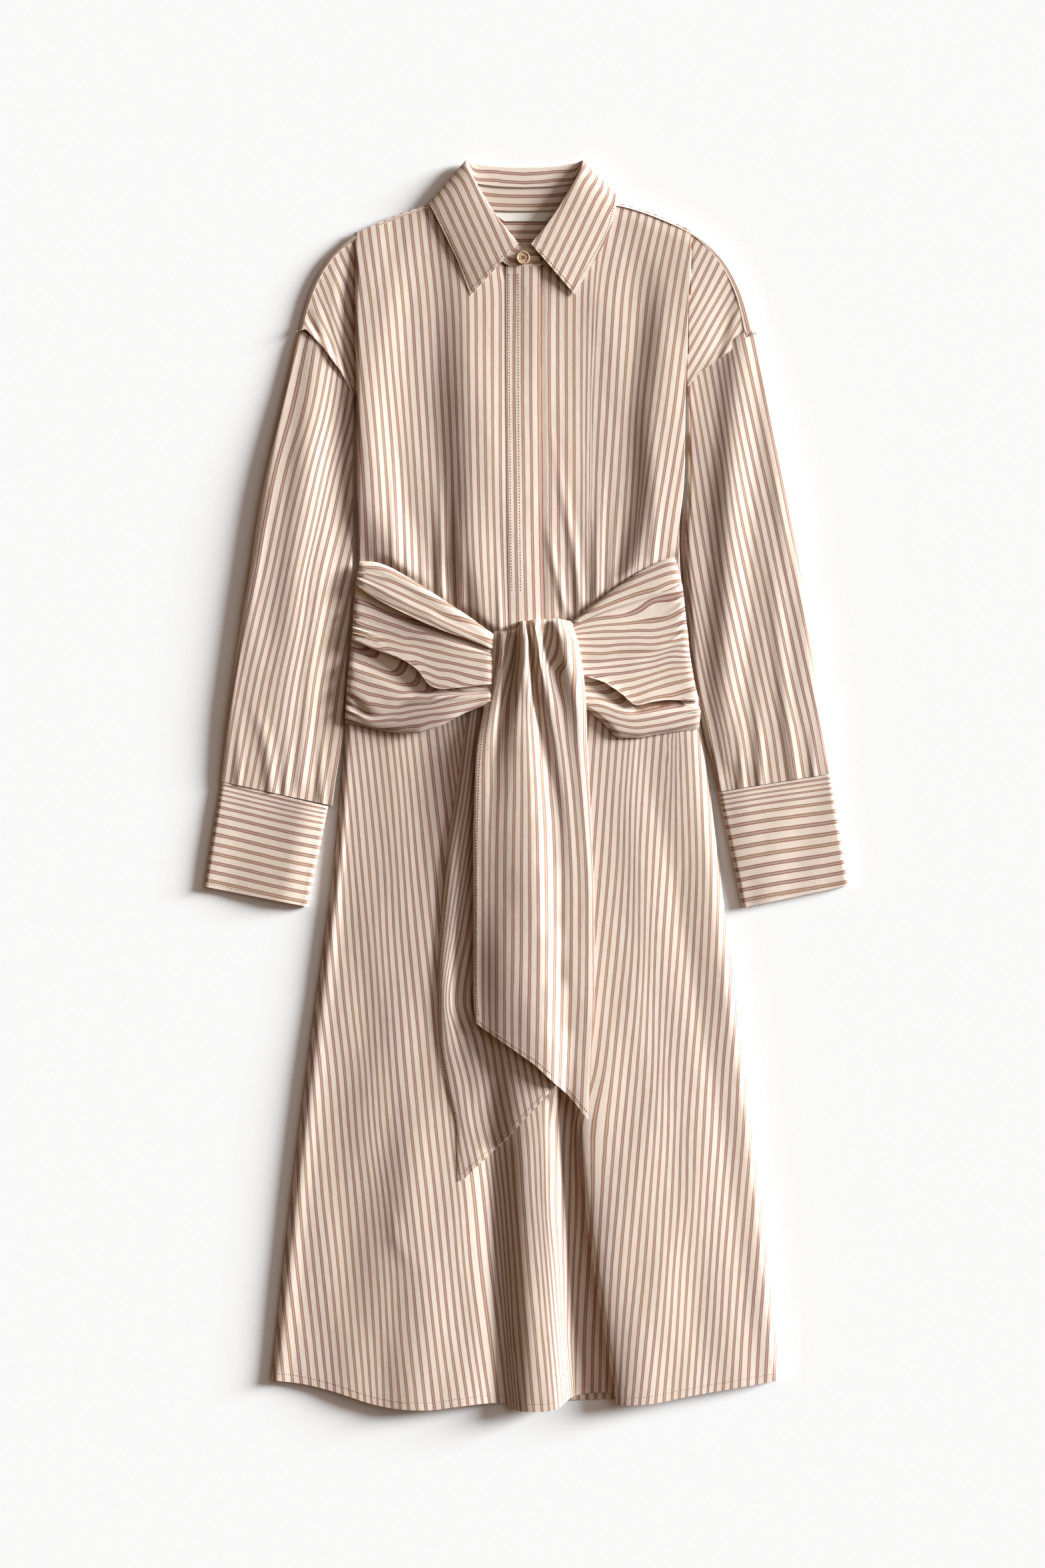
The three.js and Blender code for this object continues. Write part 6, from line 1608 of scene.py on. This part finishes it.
# %% Stitch tree and the stitches
def stitch_tree():
    tree = bpy.data.node_groups.new("stitches along lines", "GeometryNodeTree")
    face = tree.interface
    face.new_socket("Lines", in_out="INPUT", socket_type="NodeSocketGeometry")
    for name, size in (("Pitch", 0.003), ("Length", 0.001), ("Width", 0.0003)):
        face.new_socket(name, in_out="INPUT", socket_type="NodeSocketFloat").default_value = size
    face.new_socket("Seed", in_out="INPUT", socket_type="NodeSocketInt").default_value = 7
    face.new_socket("Thread", in_out="INPUT", socket_type="NodeSocketMaterial")
    face.new_socket("Stitches", in_out="OUTPUT", socket_type="NodeSocketGeometry")
    given, out = add_node(tree, "NodeGroupInput", (-900, 0)), add_node(tree, "NodeGroupOutput", (900, 0))
    curve = add_node(tree, "GeometryNodeMeshToCurve", (-700, 0))
    even = add_node(tree, "GeometryNodeResampleCurve", (-500, 0), mode="LENGTH")
    stitch = add_node(tree, "GeometryNodeMeshIcoSphere", (-500, -300))
    stitch.inputs["Radius"].default_value = 1.0
    stitch.inputs["Subdivisions"].default_value = 1
    tangent = add_node(tree, "GeometryNodeInputTangent", (-700, -200))
    turn = add_node(tree, "FunctionNodeAlignRotationToVector", (-500, -150), axis="X")
    uneven = add_node(tree, "FunctionNodeRandomValue", (-700, -450), data_type="FLOAT")
    uneven.inputs[2].default_value, uneven.inputs[3].default_value = 0.8, 1.15
    length = math_node(tree, "MULTIPLY", given.outputs["Length"], uneven.outputs[1])
    size = add_node(tree, "ShaderNodeCombineXYZ", (-300, -400))
    place = add_node(tree, "GeometryNodeInstanceOnPoints", (-100, 0))
    real = add_node(tree, "GeometryNodeRealizeInstances", (100, 0))
    smooth = add_node(tree, "GeometryNodeSetShadeSmooth", (300, 0))
    finish = add_node(tree, "GeometryNodeSetMaterial", (500, 0))
    for a, b in ((given.outputs["Lines"], curve.inputs[0]), (curve.outputs[0], even.inputs[0]),
                 (given.outputs["Pitch"], even.inputs["Length"]), (given.outputs["Seed"], uneven.inputs["Seed"]),
                 (tangent.outputs[0], turn.inputs["Vector"]), (length, size.inputs[0]),
                 (given.outputs["Width"], size.inputs[1]), (given.outputs["Width"], size.inputs[2]),
                 (even.outputs[0], place.inputs["Points"]), (stitch.outputs[0], place.inputs["Instance"]),
                 (turn.outputs[0], place.inputs["Rotation"]), (size.outputs[0], place.inputs["Scale"]),
                 (place.outputs[0], real.inputs[0]), (real.outputs[0], smooth.inputs[0]),
                 (smooth.outputs[0], finish.inputs[0]), (given.outputs["Thread"], finish.inputs["Material"]),
                 (finish.outputs[0], out.inputs[0])):
        tree.links.new(a, b)
    return tree


points = np.concatenate(stitch_lines) * MM
ends = np.cumsum([len(line) for line in stitch_lines])
edges = [(i, i + 1) for i in range(len(points) - 1) if i + 1 not in set(ends.tolist())]
line_mesh = bpy.data.meshes.new("stitches")
line_mesh.from_pydata(points.tolist(), edges, [])
stitches = bpy.data.objects.new("stitches", line_mesh)
bpy.context.collection.objects.link(stitches)
laid = stitches.modifiers.new("stitches", "NODES")
laid.node_group = stitch_tree()
for item in laid.node_group.interface.items_tree:
    if item.in_out == "INPUT" and item.name == "Thread":
        laid[item.identifier] = finishes["sewing_thread"]
bpy.context.view_layer.update()
made = bpy.data.meshes.new_from_object(stitches.evaluated_get(bpy.context.evaluated_depsgraph_get()))
stitches.modifiers.remove(laid)
stitches.data = made
print("stitches:", len(made.polygons), "triangles")


# %% [markdown]
# ## Hand each piece to the frame
# Every piece rides on the one body and stands for its solid, which is hidden. The table also lists the flat size that
# each was cut to.

SHEETS = [
    # piece, nodes that it stands for, flat width and length in mm, flat area in m2, how it is held, what it rests on
    (back_yoke, ["back_yoke"], (478, 150), 61000, "laid", []),
    (back_bodice, ["back_bodice"], (478, 325), 112000, "laid", []),
    (back_skirt, ["back_skirt"], (532, 800), 352000, "laid", []),
    (bodice_left, ["front_bodice_left"], (230, 460), 86000, "laid", ["cloth_back_bodice"]),
    (bodice_right, ["front_bodice_right"], (240, 460), 93000, "laid", ["cloth_back_bodice"]),
    (placket_cloth, ["placket"], (37, 390), None, "laid", ["cloth_bodice_right"]),
    (front_skirt, ["front_skirt"], (700, 815), 420000, "gathered", ["cloth_back_skirt"]),
    (sleeve_left, ["sleeve_left"], (250, 480), 106000, "laid", []),
    (sleeve_right, ["sleeve_right"], (250, 480), 106000, "laid", []),
    (cuff_left, ["cuff_left"], (228, 110), None, "laid", []),
    (cuff_right, ["cuff_right"], (248, 114), None, "laid", []),
    (collar, ["collar"], (400, 75), 26000, "folded", ["cloth_collar_stand"]),
    (stand, ["collar_stand"], (430, 22), None, "folded", ["cloth_bodice_left"]),
    (neck_label, ["neck_label"], (65, 12), 500, "laid", ["cloth_back_yoke"]),
    (sash_left, ["sash_left"], (175, 165), None, "gathered", ["cloth_bodice_left"]),
    (sash_right, ["sash_right"], (170, 160), None, "gathered", ["cloth_bodice_right"]),
    (back_tail, ["tie_back"], (150, 480), 52000, "laid", ["cloth_front_skirt"]),
    (front_tail, ["tie_front"], (160, 530), 66000, "folded", ["cloth_tie_back"]),
]
for piece, nodes, flat, area, held, rests in SHEETS:
    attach(piece, "root")
    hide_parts(*nodes)
    extra = {"area": area * MM ** 2} if area else {}
    if rests:
        extra["rests_on"] = rests
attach(stitches, "root")
print(len(SHEETS), "sheets declared")

# %% Button material
button = bpy.data.objects["button"]
button.data.materials.clear()
button.data.materials.append(finishes["button"])
print("button kept from the frame")


# %% [markdown]
# ## Floor and light
# The dress was shot on a white ground under one low soft light from the right, which draws every fold,
# with a little warm fill. The floor is a matt near-white plane.

# %% Floor
floor_mesh = bpy.data.meshes.new("floor")
floor_mesh.from_pydata([(-4, -4, 0), (4, -4, 0), (4, 4, 0), (-4, 4, 0)], [], [(0, 1, 2, 3)])
floor = bpy.data.objects.new("floor", floor_mesh)
bpy.context.collection.objects.link(floor)
floor_material = bpy.data.materials.new("floor")
floor_material.use_nodes = True
floor_tree = floor_material.node_tree
floor_shader = floor_tree.nodes["Principled BSDF"]
floor_shader.inputs["Specular IOR Level"].default_value = 0.2
place = add_node(floor_tree, "ShaderNodeTexCoord", (-900, 0)).outputs["Object"]
grain = noise(floor_tree, place, 220.0, 3.0)
floor_tree.links.new(mix_colour(floor_tree, grain, (0.86, 0.86, 0.86, 1), (0.9, 0.9, 0.9, 1)),
                     floor_shader.inputs["Base Color"])
floor_shader.inputs["Roughness"].default_value = 0.9
floor.data.materials.append(floor_material)

# %% Light
def sun(name, azimuth, elevation, spread, strength, colour):
    data = bpy.data.lights.new(name, "SUN")
    data.energy = strength
    data.angle = math.radians(spread)
    data.color = colour
    light = bpy.data.objects.new(name, data)
    bpy.context.collection.objects.link(light)
    light.rotation_euler = (0, math.radians(90 - elevation), math.radians(azimuth))
    return light


sun("key", 18, 14, 18, 11.4, (0.905, 0.965, 1.0))
sun("upper", 30, 42, 50, 0.7, (0.93, 0.965, 1.0))
world = bpy.data.worlds.new("studio")
world.use_nodes = True
world.node_tree.nodes["Background"].inputs["Color"].default_value = (1.0, 0.56, 0.3, 1)
world.node_tree.nodes["Background"].inputs["Strength"].default_value = 0.15
bpy.context.scene.world = world
bpy.context.scene.view_settings.view_transform = "Standard"
print("lit from the right")
